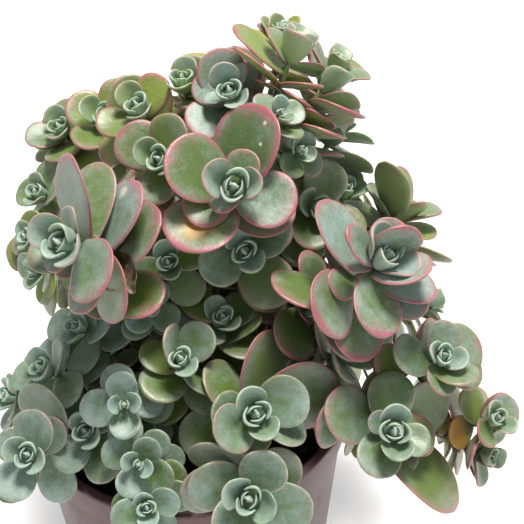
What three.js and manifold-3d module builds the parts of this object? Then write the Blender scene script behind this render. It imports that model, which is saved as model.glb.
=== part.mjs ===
// A potted stonecrop: a round plastic pot filled with soil, and a mound of leafy stems that rise,
// lean and trail over its rim. Millimetres, +Z up, origin at the middle of the pot's underside.
import * as THREE from "three";
import { mergeVertices } from "three/addons/utils/BufferGeometryUtils.js";
import Module from "manifold-3d";

const wasm = await Module();
wasm.setup();

// Driving dimensions of the pot
const POT_HEIGHT = 105;
const POT_RIM_RADIUS = 62.5;
const POT_NECK_RADIUS = 60.5;
const POT_FOOT_RADIUS = 56;
const POT_WALL = 2;
const POT_FLOOR = 2.5;
const POT_FOOT_CHAMFER = 1.2;
const RIM_BAND_HEIGHT = 12;
const RIM_LIP_ROUND = 0.8;
const POT_INNER_TOP = POT_NECK_RADIUS - POT_WALL;
const POT_INNER_FOOT = POT_FOOT_RADIUS - POT_WALL;
const POT_SIDES = 36;
const DRAIN_HOLES = 6;
const DRAIN_RADIUS = 4;
const DRAIN_CIRCLE_RADIUS = 36;
const DRAIN_SIDES = 8;

// Driving dimensions of the soil
const SOIL_HEIGHT = 97;
const SOIL_GAP = 0.3;
const SOIL_EDGE_DROP = 2;
const SOIL_SIDES = 24;

// Driving dimensions of the stems
const STEM_RADIUS = 1.5;
const STEM_STEPS = 36;
const STEM_BURIED = 8;
const STEM_HOLE_GAP = 0.35;
const STEM_HOLE_SIDES = 4;
const ROOT_DISC_RADIUS = 52;
const ROOT_SPACING = 9;
const ROOT_ROUNDS = 60;
const ROOT_REACH = 0.95;
const LEAST_APART = 0.001;
const STEM_RISE = 0.45;
const STEM_HOLD = 0.45;

// Driving dimensions of the blades
const BLADE_RATIO = 0.84;
const BLADE_HALF_THICKNESS = 1;
const BLADE_THICKEST_AT = 0.45;
const FULL_SIZE = 24;
const LEAST_LENGTH = 4.4;
const THIN_BASE = 0.35;
const THIN_SLOPE = 0.035;
const BUD_SHARE = 0.05;
const BUD_ROOM = 0.13;
const BUD_MIDDLE = 1;
const BUD_LONG = 0.14;

// Growth, pair by pair from the bud down
// How far below the tip each pair of blades stands, its share of the full size, how far it opens from
// the stem in degrees, how much it arches lengthwise and how much it cups across.
const PAIR_DOWN = [2, 4, 6.5, 10, 14.5, 20, 27, 35, 44, 54, 65];
const PAIR_SHARE = [0.3, 0.52, 0.8, 1, 1, 0.97, 0.92, 0.88, 0.82, 0.76, 0.7];
const PAIR_OPEN = [36, 54, 68, 78, 85, 90, 92, 92, 90, 88, 86];
const PAIR_ARCH = [0.12, 0.08, 0.03, 0, -0.04, -0.08];
const PAIR_CUP = [0.24, 0.18, 0.14, 0.12, 0.1, 0.08];
const SMALL_SIZE_SQUEEZE = 0.4;
const SPREAD = { around: 9, size: 0.07, open: 5, roll: 8, arch: 0.03 };
const SEED = 7;

// What a blade tries, in turn, to find free room: extra opening, extra turn round the stem, share of size.
const TRIES = [
  [0, 0, 1], [-7, 0, 1], [7, 0, 1], [0, 12, 1], [0, -12, 1], [-14, 0, 1], [14, 0, 1],
  [-8, 14, 0.94], [-8, -14, 0.94], [8, 14, 0.94], [8, -14, 0.94], [-22, 0, 0.94], [22, 0, 0.94],
  [0, 0, 0.84], [-14, 12, 0.84], [-14, -12, 0.84], [14, 12, 0.84], [14, -12, 0.84], [-28, 0, 0.84],
  [28, 0, 0.84], [0, 24, 0.8], [0, -24, 0.8], [-20, 24, 0.8], [-20, -24, 0.8],
  [0, 0, 0.7], [-16, 0, 0.7], [16, 0, 0.7], [-34, 0, 0.75], [-16, 20, 0.66], [-16, -20, 0.66],
];

// Room that blades keep from each other, from stems and from the pot.
const EDGE_GAP = 1.6;
const MIDDLE_GAP = 2.3;
const OWN_EDGE_GAP = 0.8;
const OWN_MIDDLE_GAP = 1.4;
const OWN_FREE_FROM = 0.14;
const SIDE_MARGIN = 0.5;
const REACH_MARGIN = 2.5;
const STEM_MARGIN = 0.6;
const STEM_CLEARANCE = 0.5;
const OWN_BUD_RADIUS = 0.8;
const OWN_BUD_GAP = 1.5;
const RIM_CLEARANCE = 2;
const SOIL_CLEARANCE = 1.5;
const GROUND_CLEARANCE = 4;
const RIM_ZONE_OUTSIDE = 2.5;
const RIM_ZONE_INSIDE = 5.5;
const STEM_REACH_MARGIN = 1.5;
const MIDDLE_FREE_MORE = 0.1;
const LOWEST_BLADE_ABOVE_SOIL = 4;

// The shoots
// Name, tip x, y and z, the bearing and lift that the tip faces in degrees, the turn of its first pair,
// the length of a full blade, the number of pairs, and what is special about it. A set blade is
// [pair, side, turn round the stem, opening, length, roll, extra distance below the tip], in degrees and
// millimetres, and set blades grow first.
const SHOOTS = [
  ["crown_front", 19, -6, 201, -85, 40, 65, 26, 11, {
    ratio: 0.9,
    blades: [
      [2, 0, 60, 75, 13, -20], [2, 1, -115, 55, 11, 30], [3, 0, -20, 70, 22, -5],
      [3, 1, 150, 70, 25, 10], [4, 0, 70, 60, 31, -40], [4, 1, -135, 75, 27, 20],
    ],
  }],
  ["crown_upper", 17, 31, 214, -95, 45, 20, 21, 7, {
    blades: [
      [2, 0, -165, 90, 9, 40], [2, 1, 65, 70, 12, -45], [3, 0, 155, 70, 15, -10, 1],
      [3, 1, -15, 65, 15, -40], [4, 0, -135, 65, 19, -5], [4, 1, 55, 60, 19, -30],
    ],
  }],
  ["crown_right", 40, 43, 225, 40, 45, 30, 25, 9, {
    ratio: 0.8,
    rise: 0.2,
    hold: 0.15,
    blades: [
      [2, 0, -100, 95, 14, -25], [2, 1, 40, 55, 13, -20], [3, 0, -105, 105, 19, -20],
      [3, 1, 45, 70, 23, -15], [5, 0, -140, 80, 24, -25], [5, 1, 45, 65, 25, -5],
    ],
  }],
  ["crown_side", 50, 41, 212, 40, 45, 75, 23, 7, {
    ratio: 0.8,
    rise: 0.5,
    hold: 0.15,
    blades: [
      [2, 0, -145, 75, 15, -20], [4, 1, -100, 75, 20, -30], [5, 0, 160, 70, 22, 0],
    ],
  }],
  ["crown_mid", 34, 15, 215, -70, 35, 10, 12, 5, { rise: 0.4, hold: 0.15 }],
  ["crown_low", 41, 15, 201, -60, 25, 40, 13, 5, { rise: 0.55, hold: 0.3 }],
  ["left_mid", -6, 14, 198, -110, 40, 80, 21, 11],
  ["centre_low", 22, -5, 174, -90, 35, 35, 22, 10],
  ["right_main", 67, -18, 182, -45, 55, 10, 26, 9, {
    ratio: 0.82,
    blades: [
      [2, 0, 30, 50, 16, -10], [2, 1, 165, 90, 9, 40], [3, 0, 110, 65, 18, 20],
      [3, 1, -40, 50, 19, -30], [4, 0, 85, 80, 27, 10], [4, 1, -60, 55, 26, -20],
      [5, 0, -170, 80, 27, -15], [5, 1, -120, 65, 29, 5, 2], [6, 0, 170, 85, 27, 30],
      [6, 1, -120, 75, 26, 10],
    ],
  }],
  ["left_main", -33, -23, 192, -115, 40, 70, 26, 10, {
    ratio: 0.8,
    blades: [
      [2, 0, 100, 65, 12, -30], [2, 1, -115, 70, 11, 10], [3, 1, -140, 60, 17, 10],
      [4, 0, 115, 65, 31, -40], [4, 1, -55, 70, 24, 20], [5, 0, 65, 65, 28, -20],
      [5, 1, -40, 75, 27, 40], [6, 0, 105, 55, 35, -40], [6, 1, 35, 50, 28, -5],
    ],
  }],
  ["left_low", 1, -31, 149, -85, 55, 40, 19, 7, {
    blades: [
      [3, 0, 120, 30, 17, 45], [3, 1, -50, 85, 15, -45], [4, 0, 160, 65, 16, 20],
      [4, 1, -135, 60, 19, 0, 2],
    ],
  }],
  ["front_mid", 26, -49, 142, -80, 55, 20, 23, 7, {
    blades: [
      [3, 0, -30, 75, 19, -45], [3, 1, 170, 55, 18, 0], [4, 0, 15, 70, 32, 30],
      [4, 1, -105, 45, 16, 10], [5, 0, 120, 80, 22, 35], [5, 1, 60, 80, 30, 35, -2.2],
    ],
  }],
  ["right_low", 71, -50, 135, -100, 50, 5, 24, 7, {
    blades: [
      [2, 0, 155, 80, 9, 0], [2, 1, -20, 65, 13, -20], [3, 0, 90, 90, 19, -15],
      [3, 1, -115, 65, 18, 20], [4, 0, 25, 45, 33, 15], [4, 1, 165, 95, 23, 15],
      [5, 0, 75, 75, 29, -25], [5, 1, -50, 35, 40, -30],
    ],
  }],
  ["front_low", 24, -68, 124, -100, 50, 70, 23, 7, {
    blades: [
      [4, 0, 175, 80, 23, -10], [4, 1, 40, 70, 20, -5], [5, 0, 125, 75, 24, -45],
    ],
  }],
  ["left_corner", -50, -51, 124, -70, 55, 50, 20, 7, {
    blades: [
      [3, 0, 35, 90, 15, 5], [3, 1, 140, 60, 14, 15], [4, 0, -75, 90, 19, -15],
      [4, 1, -130, 50, 20, 10, -2.2], [5, 0, 70, 85, 25, 15],
    ],
  }],
  ["small_a", -17, -44, 141, -75, 50, 85, 14, 7],
  ["small_b", -12, -58, 128, -80, 50, 55, 14, 7],
  ["small_c", -9, -68, 119, -80, 50, 10, 15, 6],
  ["gap_a", -11, -15, 158, -85, 45, 60, 13, 7],
  ["gap_e", -4, -4, 168, -90, 45, 20, 18, 8],
  ["gap_b", 14, -12, 149, -65, 70, 20, 19, 7],
  ["gap_c", 48, 18, 175, -80, 35, 60, 21, 8, { rise: 0.3 }],
  ["gap_d", 57, -22, 143, -95, 55, 60, 20, 7, { rise: 0.6, hold: 0.15 }],
  ["far_left_a", -51, 65, 179, -110, 55, 40, 20, 7, { rise: 0.7 }],
  ["far_left_b", -32, 58, 188, -95, 60, 70, 22, 7],
  ["left_back_a", -57, 40, 166, -125, 45, 20, 17, 7],
  ["left_back_b", -58, 21, 160, -135, 35, 60, 15, 6],
  ["left_under", -53, 3, 157, -130, 15, 10, 14, 6],
  ["side_left_a", -37, -11, 144, -135, 50, 30, 17, 7],
  ["side_left_b", -48, -24, 137, -130, 45, 60, 18, 7, { rise: 0.1, hold: 0.15 }],
  ["side_left_c", -65, -17, 115, -155, 50, 20, 17, 6, { hold: 0.4 }],
  ["mid_left_a", -32, -42, 125, -80, 60, 40, 19, 7],
  ["right_bud", 88, -31, 150, -80, 65, 70, 17, 7, { rise: 0.7 }],
  ["right_far_a", 110, -33, 121, -65, 65, 15, 16, 7],
  ["right_far_b", 109, -37, 106, -65, 40, 50, 15, 6, { rise: 0.5, hold: 0.25 }],
  ["right_back", 80, 40, 160, 75, 80, 20, 22, 8],
  ["right_gap", 60, 44, 164, -45, 70, 30, 20, 8],
  ["top_back", 56, 69, 205, 5, 60, 80, 20, 7, { rise: 0.55 }],
  ["top_left", -16, 41, 202, -115, 60, 55, 21, 7],
  ["top_mid", 0, 47, 209, -115, 70, 15, 20, 7],
  ["top_far", 36, 79, 213, 40, 80, 15, 15, 6],
  ["back_a", 22, 62, 196, 75, 60, 30, 20, 9],
  ["back_b", -14, 68, 184, 110, 50, 60, 19, 9],
  ["back_c", 58, 62, 182, 50, 40, 10, 20, 8],
  ["back_d", 20, 82, 162, 80, 30, 45, 20, 7],
  ["back_e", -50, 68, 160, 130, 30, 70, 19, 7],
  ["back_f", 84, 56, 142, 35, 25, 20, 19, 7],
  ["back_g", -22, 86, 134, 105, 15, 15, 18, 7],
  ["back_h", 52, 84, 130, 60, 10, 65, 18, 7],
  ["back_i", -62, 66, 116, 135, 5, 40, 17, 6],
  ["back_j", 18, 92, 108, 80, 0, 30, 16, 6],
  ["back_k", 78, 62, 110, 40, 0, 75, 16, 6],
  ["side_a", 96, 24, 124, 10, 10, 25, 17, 6],
  ["back_l", -34, 84, 104, 120, -5, 10, 14, 5, { rise: 0.5 }],
];

// Vectors
const add = (a, b) => [a[0] + b[0], a[1] + b[1], a[2] + b[2]];
const sub = (a, b) => [a[0] - b[0], a[1] - b[1], a[2] - b[2]];
const scale = (a, k) => [a[0] * k, a[1] * k, a[2] * k];
const dot = (a, b) => a[0] * b[0] + a[1] * b[1] + a[2] * b[2];
const cross = (a, b) => [
  a[1] * b[2] - a[2] * b[1],
  a[2] * b[0] - a[0] * b[2],
  a[0] * b[1] - a[1] * b[0],
];
const length = (a) => Math.sqrt(dot(a, a));
const unit = (a) => scale(a, 1 / length(a));
const radians = (degrees) => (degrees * Math.PI) / 180;

// A small repeatable sequence of draws between -1 and 1.
function makeDraw(seed) {
  let state = seed;
  return () => {
    state = (state * 16807) % 2147483647;
    return (state / 2147483647) * 2 - 1;
  };
}

// Blade surface
const WIDEST_AT = 0.6;
const OUTLINE_AT = [0.15, 0.3, 0.45, 0.62, 0.76, 0.88, 0.97];
const MIDDLE_AT = 0.55;
const MIDDLE_POINTS = [[0.25, 0], [0.5, 0], [0.75, 0], [MIDDLE_AT, 0.5], [MIDDLE_AT, -0.5]];
const END_MARGIN_SHARE = 0.4;
const NEAR_ROOT = 0.02;
const NEAR_TIP = 0.985;

// Half width of a blade, 1 at its widest, at a share of its length.
function halfWidth(u) {
  if (u <= 0 || u >= 1) return 0;
  if (u < WIDEST_AT) {
    const s = Math.sin(((Math.PI / 2) * u) / WIDEST_AT);
    return s * Math.sqrt(s);
  }
  const k = (u - WIDEST_AT) / (1 - WIDEST_AT);
  return Math.sqrt(1 - k * k);
}

const OUTLINE_POINTS = [
  [0, 0],
  ...OUTLINE_AT.map((u) => [u, halfWidth(u)]),
  [1, 0],
  ...OUTLINE_AT.map((u) => [u, -halfWidth(u)]).reverse(),
];

const liftOf = (blade, u, v) => blade.length * blade.arch * u * u + blade.half * blade.cup * v * v;

// A point of the blade's middle surface: u along it, v across it in half widths.
function bladePoint(blade, u, v, above = 0) {
  const along = scale(blade.along, u * blade.length);
  const across = scale(blade.across, v * blade.half);
  const out = scale(blade.out, liftOf(blade, u, v) + above);
  return add(add(add(blade.base, along), across), out);
}

function makeBlade(shoot, base, along, across, out, size, ratio, arch, cup, pair) {
  const blade = { shoot, base, along, across, out, length: size, half: (size * ratio) / 2, arch, cup, pair };
  blade.outline = OUTLINE_POINTS.map(([u, v]) => bladePoint(blade, u, v));
  blade.middle = MIDDLE_POINTS.map(([u, v]) => bladePoint(blade, u, v));
  blade.centre = bladePoint(blade, MIDDLE_AT, 0);
  blade.reach = Math.max(...blade.outline.map((p) => length(sub(p, blade.centre))));
  return blade;
}

// Where a point lies in a blade's own terms: along, across, and height over its middle surface.
function bladeLocal(blade, point) {
  const q = sub(point, blade.base);
  const u = dot(q, blade.along) / blade.length;
  const v = dot(q, blade.across) / blade.half;
  return [u, v, dot(q, blade.out) - liftOf(blade, u, v)];
}

function withinOutline(u, v, margin) {
  if (u < -margin * END_MARGIN_SHARE || u > 1 + margin * END_MARGIN_SHARE) return false;
  return Math.abs(v) < halfWidth(Math.min(Math.max(u, NEAR_ROOT), NEAR_TIP)) + margin;
}

// Room between blades
function bladeHits(a, b, edgeGap, middleGap, freeFrom) {
  const margin = SIDE_MARGIN / b.half;
  const count = a.outline.length;
  let last = null;
  for (let i = 0; i <= count; i += 1) {
    const here = bladeLocal(b, a.outline[i % count]);
    const [u, v, h] = here;
    const ownU = OUTLINE_POINTS[i % count][0];
    if (withinOutline(u, v, margin) && u > freeFrom && Math.abs(h) < edgeGap) {
      if (freeFrom < 0 || ownU > freeFrom) return true;
    }
    if (last && h * last[2] < 0) {
      const t = last[2] / (last[2] - h);
      const cu = last[0] + (u - last[0]) * t;
      const cv = last[1] + (v - last[1]) * t;
      const lastU = OUTLINE_POINTS[i - 1][0];
      if (withinOutline(cu, cv, margin) && cu > freeFrom) {
        if (freeFrom < 0 || ownU > freeFrom || lastU > freeFrom) return true;
      }
    }
    last = here;
  }
  return a.middle.some((point, i) => {
    if (freeFrom > 0 && MIDDLE_POINTS[i][0] < freeFrom + MIDDLE_FREE_MORE) return false;
    const [u, v, h] = bladeLocal(b, point);
    return withinOutline(u, v, margin) && Math.abs(h) < middleGap && u > freeFrom;
  });
}

function bladesMeet(a, b) {
  if (length(sub(a.centre, b.centre)) > a.reach + b.reach + REACH_MARGIN) return false;
  if (a.shoot === b.shoot) {
    return (
      bladeHits(a, b, OWN_EDGE_GAP, OWN_MIDDLE_GAP, OWN_FREE_FROM) ||
      bladeHits(b, a, OWN_EDGE_GAP, OWN_MIDDLE_GAP, OWN_FREE_FROM)
    );
  }
  return bladeHits(a, b, EDGE_GAP, MIDDLE_GAP, -1) || bladeHits(b, a, EDGE_GAP, MIDDLE_GAP, -1);
}

function clearOfPot(blade) {
  return [...blade.outline, ...blade.middle].every(([x, y, z]) => {
    const r = Math.sqrt(x * x + y * y);
    if (r >= POT_RIM_RADIUS + RIM_ZONE_OUTSIDE) return z >= GROUND_CLEARANCE;
    if (r > POT_RIM_RADIUS - RIM_ZONE_INSIDE) return z >= POT_HEIGHT + RIM_CLEARANCE;
    return z >= SOIL_HEIGHT + SOIL_CLEARANCE;
  });
}

function clearOfStems(blade, stemPoints) {
  return !stemPoints.some(({ shoot, point, radius, isBud }) => {
    if (shoot === blade.shoot) {
      if (!isBud) return false;
      const [u, v, h] = bladeLocal(blade, point);
      return withinOutline(u, v, OWN_BUD_RADIUS / blade.half) && Math.abs(h) < OWN_BUD_GAP;
    }
    if (length(sub(point, blade.centre)) > blade.reach + radius + STEM_REACH_MARGIN) return false;
    const [u, v, h] = bladeLocal(blade, point);
    const near = withinOutline(u, v, (radius + STEM_MARGIN) / blade.half);
    return near && Math.abs(h) < BLADE_HALF_THICKNESS + radius + STEM_CLEARANCE;
  });
}

// Stems
// Each stem stands towards its tip, nearer the rim the lower its tip is, and roots push each other apart.
function placeRoots(rows) {
  const roots = rows.map(([, x, y, z]) => {
    const far = Math.sqrt(x * x + y * y);
    const lean = Math.atan2(far, Math.max(z - SOIL_HEIGHT, 1)) / (Math.PI / 2);
    const radius = ROOT_DISC_RADIUS * ROOT_REACH * Math.min(1, lean);
    return [(radius * x) / far, (radius * y) / far];
  });
  for (let round = 0; round < ROOT_ROUNDS; round += 1) {
    for (let i = 0; i < roots.length; i += 1) {
      for (let j = i + 1; j < roots.length; j += 1) {
        const dx = roots[j][0] - roots[i][0];
        const dy = roots[j][1] - roots[i][1];
        const apart = Math.sqrt(dx * dx + dy * dy);
        if (apart < ROOT_SPACING) {
          const push = (ROOT_SPACING - apart) / 2 / Math.max(apart, LEAST_APART);
          roots[i] = [roots[i][0] - dx * push, roots[i][1] - dy * push];
          roots[j] = [roots[j][0] + dx * push, roots[j][1] + dy * push];
        }
      }
    }
    for (const root of roots) {
      const radius = Math.sqrt(root[0] * root[0] + root[1] * root[1]);
      if (radius > ROOT_DISC_RADIUS) {
        root[0] *= ROOT_DISC_RADIUS / radius;
        root[1] *= ROOT_DISC_RADIUS / radius;
      }
    }
  }
  return roots;
}

function bezier(p0, p1, p2, p3, t) {
  const k = 1 - t;
  const weights = [k * k * k, 3 * k * k * t, 3 * k * t * t, t * t * t];
  return [0, 1, 2].map(
    (i) => weights[0] * p0[i] + weights[1] * p1[i] + weights[2] * p2[i] + weights[3] * p3[i],
  );
}

function makeShoot(row, root, index) {
  const [name, x, y, z, bearing, lift, twist, size, pairs, special = {}] = row;
  const b = radians(bearing);
  const l = radians(lift);
  const shoot = { name, index, twist, size, pairs, special, blades: [] };
  shoot.tip = [x, y, z];
  shoot.axis = [Math.cos(l) * Math.cos(b), Math.cos(l) * Math.sin(b), Math.sin(l)];
  shoot.side = [-Math.sin(b), Math.cos(b), 0];
  const foot = [root[0], root[1], SOIL_HEIGHT];
  const span = length(sub(shoot.tip, foot));
  const rise = add(foot, [0, 0, (special.rise ?? STEM_RISE) * span]);
  const hold = sub(shoot.tip, scale(shoot.axis, (special.hold ?? STEM_HOLD) * span));
  shoot.path = [];
  for (let i = 0; i <= STEM_STEPS; i += 1) {
    shoot.path.push(bezier(foot, rise, hold, shoot.tip, i / STEM_STEPS));
  }
  shoot.fromTip = [0];
  for (let i = STEM_STEPS; i > 0; i -= 1) {
    shoot.fromTip.push(shoot.fromTip.at(-1) + length(sub(shoot.path[i], shoot.path[i - 1])));
  }
  return shoot;
}

// The stem's middle and its upward direction at a distance below the tip.
function alongStem(shoot, distance) {
  for (let i = 1; i <= STEM_STEPS; i += 1) {
    if (shoot.fromTip[i] >= distance || i === STEM_STEPS) {
      const upper = shoot.path[STEM_STEPS - i + 1];
      const lower = shoot.path[STEM_STEPS - i];
      const step = shoot.fromTip[i] - shoot.fromTip[i - 1];
      const share = Math.min(1, (distance - shoot.fromTip[i - 1]) / step);
      return [add(upper, scale(sub(lower, upper), share)), unit(sub(upper, lower))];
    }
  }
  throw new Error("no stem at " + distance);
}

// Growing the blades
function setBlade(shoot, pair, side) {
  return (shoot.special.blades ?? []).find((blade) => blade[0] === pair && blade[1] === side);
}

function bladeFor(shoot, pair, side, draws, attempt) {
  const stretch = 1 - SMALL_SIZE_SQUEEZE + (SMALL_SIZE_SQUEEZE * shoot.size) / FULL_SIZE;
  const set = setBlade(shoot, pair, side);
  const down = PAIR_DOWN[pair] * stretch + (set?.[6] ?? 0);
  if (down > shoot.fromTip.at(-1) - LOWEST_BLADE_ABOVE_SOIL) return null;
  if (shoot.size * PAIR_SHARE[pair] < LEAST_LENGTH) return null;
  const [point, axis] = alongStem(shoot, down);
  const right = unit(sub(shoot.side, scale(axis, dot(shoot.side, axis))));
  const up = cross(axis, right);
  const around = set ? set[2] : shoot.twist + 90 * pair + 180 * side + draws[0] * SPREAD.around;
  const open = set ? set[3] : PAIR_OPEN[pair] + draws[2] * SPREAD.open;
  const size = set ? set[4] : shoot.size * PAIR_SHARE[pair] * (1 + SPREAD.size * draws[1]);
  const phi = radians(around + attempt[1]);
  const theta = radians(open + attempt[0]);
  const outward = add(scale(right, Math.cos(phi)), scale(up, Math.sin(phi)));
  const along = add(scale(axis, Math.cos(theta)), scale(outward, Math.sin(theta)));
  const flatOut = sub(scale(axis, Math.sin(theta)), scale(outward, Math.cos(theta)));
  const flatAcross = cross(flatOut, along);
  const roll = radians(set ? set[5] : draws[3] * SPREAD.roll);
  const across = add(scale(flatAcross, Math.cos(roll)), scale(flatOut, Math.sin(roll)));
  const out = sub(scale(flatOut, Math.cos(roll)), scale(flatAcross, Math.sin(roll)));
  const arch = PAIR_ARCH[Math.min(pair, PAIR_ARCH.length - 1)] + SPREAD.arch * draws[4];
  const cup = PAIR_CUP[Math.min(pair, PAIR_CUP.length - 1)];
  const ratio = shoot.special.ratio ?? BLADE_RATIO;
  const blade = makeBlade(shoot.index, point, along, across, out, size * attempt[2], ratio, arch, cup, pair);
  return Object.assign(blade, { side, turn: around + attempt[1], distance: down });
}

function growBlades(shoots) {
  const draw = makeDraw(SEED);
  const drawBlade = () => [draw(), draw(), draw(), draw(), draw()];
  const draws = shoots.map(() => PAIR_DOWN.map(() => [drawBlade(), drawBlade()]));
  const stemPoints = [];
  for (const shoot of shoots) {
    for (const point of shoot.path) {
      stemPoints.push({ shoot: shoot.index, point, radius: STEM_RADIUS, isBud: false });
    }
    const bud = add(shoot.tip, scale(shoot.axis, BUD_MIDDLE));
    stemPoints.push({ shoot: shoot.index, point: bud, radius: shoot.size * BUD_ROOM, isBud: true });
  }
  const blades = [];
  const rounds = [true, false].flatMap((setFirst) => PAIR_DOWN.map((_, pair) => [setFirst, pair]));
  for (const [setFirst, pair] of rounds) {
    for (const shoot of shoots) {
      if (pair >= shoot.pairs) continue;
      for (const side of [0, 1]) {
        if (Boolean(setBlade(shoot, pair, side)) !== setFirst) continue;
        for (const attempt of TRIES) {
          const blade = bladeFor(shoot, pair, side, draws[shoot.index][pair][side], attempt);
          if (!blade) break;
          if (!clearOfPot(blade)) continue;
          if (blades.some((other) => bladesMeet(blade, other))) continue;
          if (!clearOfStems(blade, stemPoints)) continue;
          blades.push(blade);
          shoot.blades.push(blade);
          break;
        }
      }
    }
  }
  return blades;
}

// Solids
const SAME_POINT = 0.0001;

// A triangle list as a solid for joining and cutting.
function solidFrom(points, triangles) {
  const vertProperties = new Float32Array(points.flat());
  const triVerts = new Uint32Array(triangles.flat());
  return new wasm.Manifold(new wasm.Mesh({ numProp: 3, vertProperties, triVerts }));
}

function solidFromGeometry(geometry) {
  const bare = new THREE.BufferGeometry();
  const flat = geometry.index ? geometry.toNonIndexed() : geometry;
  bare.setAttribute("position", flat.getAttribute("position"));
  const merged = mergeVertices(bare, SAME_POINT);
  return new wasm.Manifold(
    new wasm.Mesh({
      numProp: 3,
      vertProperties: new Float32Array(merged.attributes.position.array),
      triVerts: new Uint32Array(merged.index.array),
    }),
  );
}

function meshFrom(solid, name, material) {
  const data = solid.getMesh();
  const geometry = new THREE.BufferGeometry();
  const flat = new Float32Array(data.triVerts.length * 3);
  data.triVerts.forEach((v, i) => {
    for (let c = 0; c < 3; c += 1) flat[i * 3 + c] = data.vertProperties[v * data.numProp + c];
  });
  geometry.setAttribute("position", new THREE.BufferAttribute(flat, 3));
  geometry.computeVertexNormals();
  const mesh = new THREE.Mesh(geometry, material);
  mesh.name = name;
  return mesh;
}

// Points of half a blade's outline, from its root to its tip: along it, and across it in half widths.
const HALF_OUTLINE_FINE = [[0.3, 0.56], [0.62, 1], [0.88, 0.71]];
const HALF_OUTLINE_PLAIN = [[0.36, 0.7], [0.78, 0.93]];
const HALF_OUTLINE_SLIGHT = [[0.6, 1]];
const FINE_FROM_LENGTH = 20;
const FINE_TO_PAIR = 3;
const SLIGHT_BELOW_LENGTH = 10;
const SLIGHT_FROM_PAIR = 6;
const ROOT_HALF_HEIGHT = 0.8;
const STEM_CORNERS = 4;
const BARE_STEM_STEP = 18;
const SHARED_RING_BELOW = 2;
const BUD_WIDEST_ABOVE = 0.4;

function halfOutlineOf(blade) {
  if (blade.pair >= SLIGHT_FROM_PAIR || blade.length < SLIGHT_BELOW_LENGTH) return HALF_OUTLINE_SLIGHT;
  const fine = blade.pair <= FINE_TO_PAIR && blade.length >= FINE_FROM_LENGTH;
  return fine ? HALF_OUTLINE_FINE : HALF_OUTLINE_PLAIN;
}

// The shoot as one closed surface: rings of corners up a square stem, blades drawn out of its faces.
class ShootSurface {
  constructor(shoot) {
    this.shoot = shoot;
    this.points = [];
    this.triangles = [];
  }

  addPoint(point) {
    return this.points.push(point) - 1;
  }

  // Four corners round the stem at a distance below the tip, turned so that faces look along the turn.
  ring(distance, turn, radius = STEM_RADIUS) {
    const [middle, axis] = alongStem(this.shoot, distance);
    return this.ringAt(middle, axis, turn, radius);
  }

  ringAt(middle, axis, turn, radius) {
    const right = unit(sub(this.shoot.side, scale(axis, dot(this.shoot.side, axis))));
    const up = cross(axis, right);
    return Array.from({ length: STEM_CORNERS }, (_, i) => {
      const angle = radians(turn - 45 + 90 * i);
      const aside = add(scale(right, Math.cos(angle)), scale(up, Math.sin(angle)));
      return this.addPoint(add(middle, scale(aside, radius)));
    });
  }

  // One face of the stem between a lower and an upper ring.
  face(lower, upper, i) {
    const next = (i + 1) % STEM_CORNERS;
    this.triangles.push([lower[i], lower[next], upper[next]], [lower[i], upper[next], upper[i]]);
  }

  // A blade drawn out of one face of the stem.
  blade(blade, lower, upper, i) {
    const next = (i + 1) % STEM_CORNERS;
    const half = halfOutlineOf(blade);
    const rim = [
      ...half.map(([u, v]) => this.addPoint(bladePoint(blade, u, -v))),
      this.addPoint(bladePoint(blade, 1, 0)),
      ...half.map(([u, v]) => this.addPoint(bladePoint(blade, u, v))).reverse(),
    ];
    const thick = Math.min(BLADE_HALF_THICKNESS, THIN_BASE + THIN_SLOPE * blade.length);
    const top = this.addPoint(bladePoint(blade, BLADE_THICKEST_AT, 0, thick));
    const bottom = this.addPoint(bladePoint(blade, BLADE_THICKEST_AT, 0, -thick));
    const above = [upper[i], ...rim, upper[next]];
    const below = [lower[i], ...rim, lower[next]];
    for (let j = 0; j < above.length; j += 1) {
      const following = (j + 1) % above.length;
      this.triangles.push([above[j], above[following], top], [below[following], below[j], bottom]);
    }
    this.triangles.push([lower[i], rim[0], upper[i]], [lower[next], upper[next], rim.at(-1)]);
  }
}

const wrapTurn = (degrees) => degrees - 360 * Math.round(degrees / 360);
const wrapFace = (face) => ((face % STEM_CORNERS) + STEM_CORNERS) % STEM_CORNERS;

// The blades at each distance below the tip, with the turn of the stem's faces there, from the tip down.
function levelsOf(shoot) {
  const levels = [];
  let faced = shoot.twist;
  const distances = [...new Set(shoot.blades.map((blade) => blade.distance))].sort((a, b) => a - b);
  for (const distance of distances) {
    const blades = shoot.blades.filter((blade) => blade.distance === distance);
    // The second blade takes the face that lets both look most nearly straight out of their faces.
    const turns = blades.map((blade) => blade.turn);
    const apart = wrapTurn((turns[1] ?? turns[0] + 180) - turns[0]);
    const step = Math.round(apart / 90) || Math.sign(apart);
    const middle = turns[0] + (apart - 90 * step) / 2;
    const quarters = Math.round((faced - middle) / 90);
    faced = middle + 90 * quarters;
    const faces = blades.map((_, n) => wrapFace(n * step - quarters));
    levels.push({ distance, turn: faced, blades, faces });
  }
  return levels;
}

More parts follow.
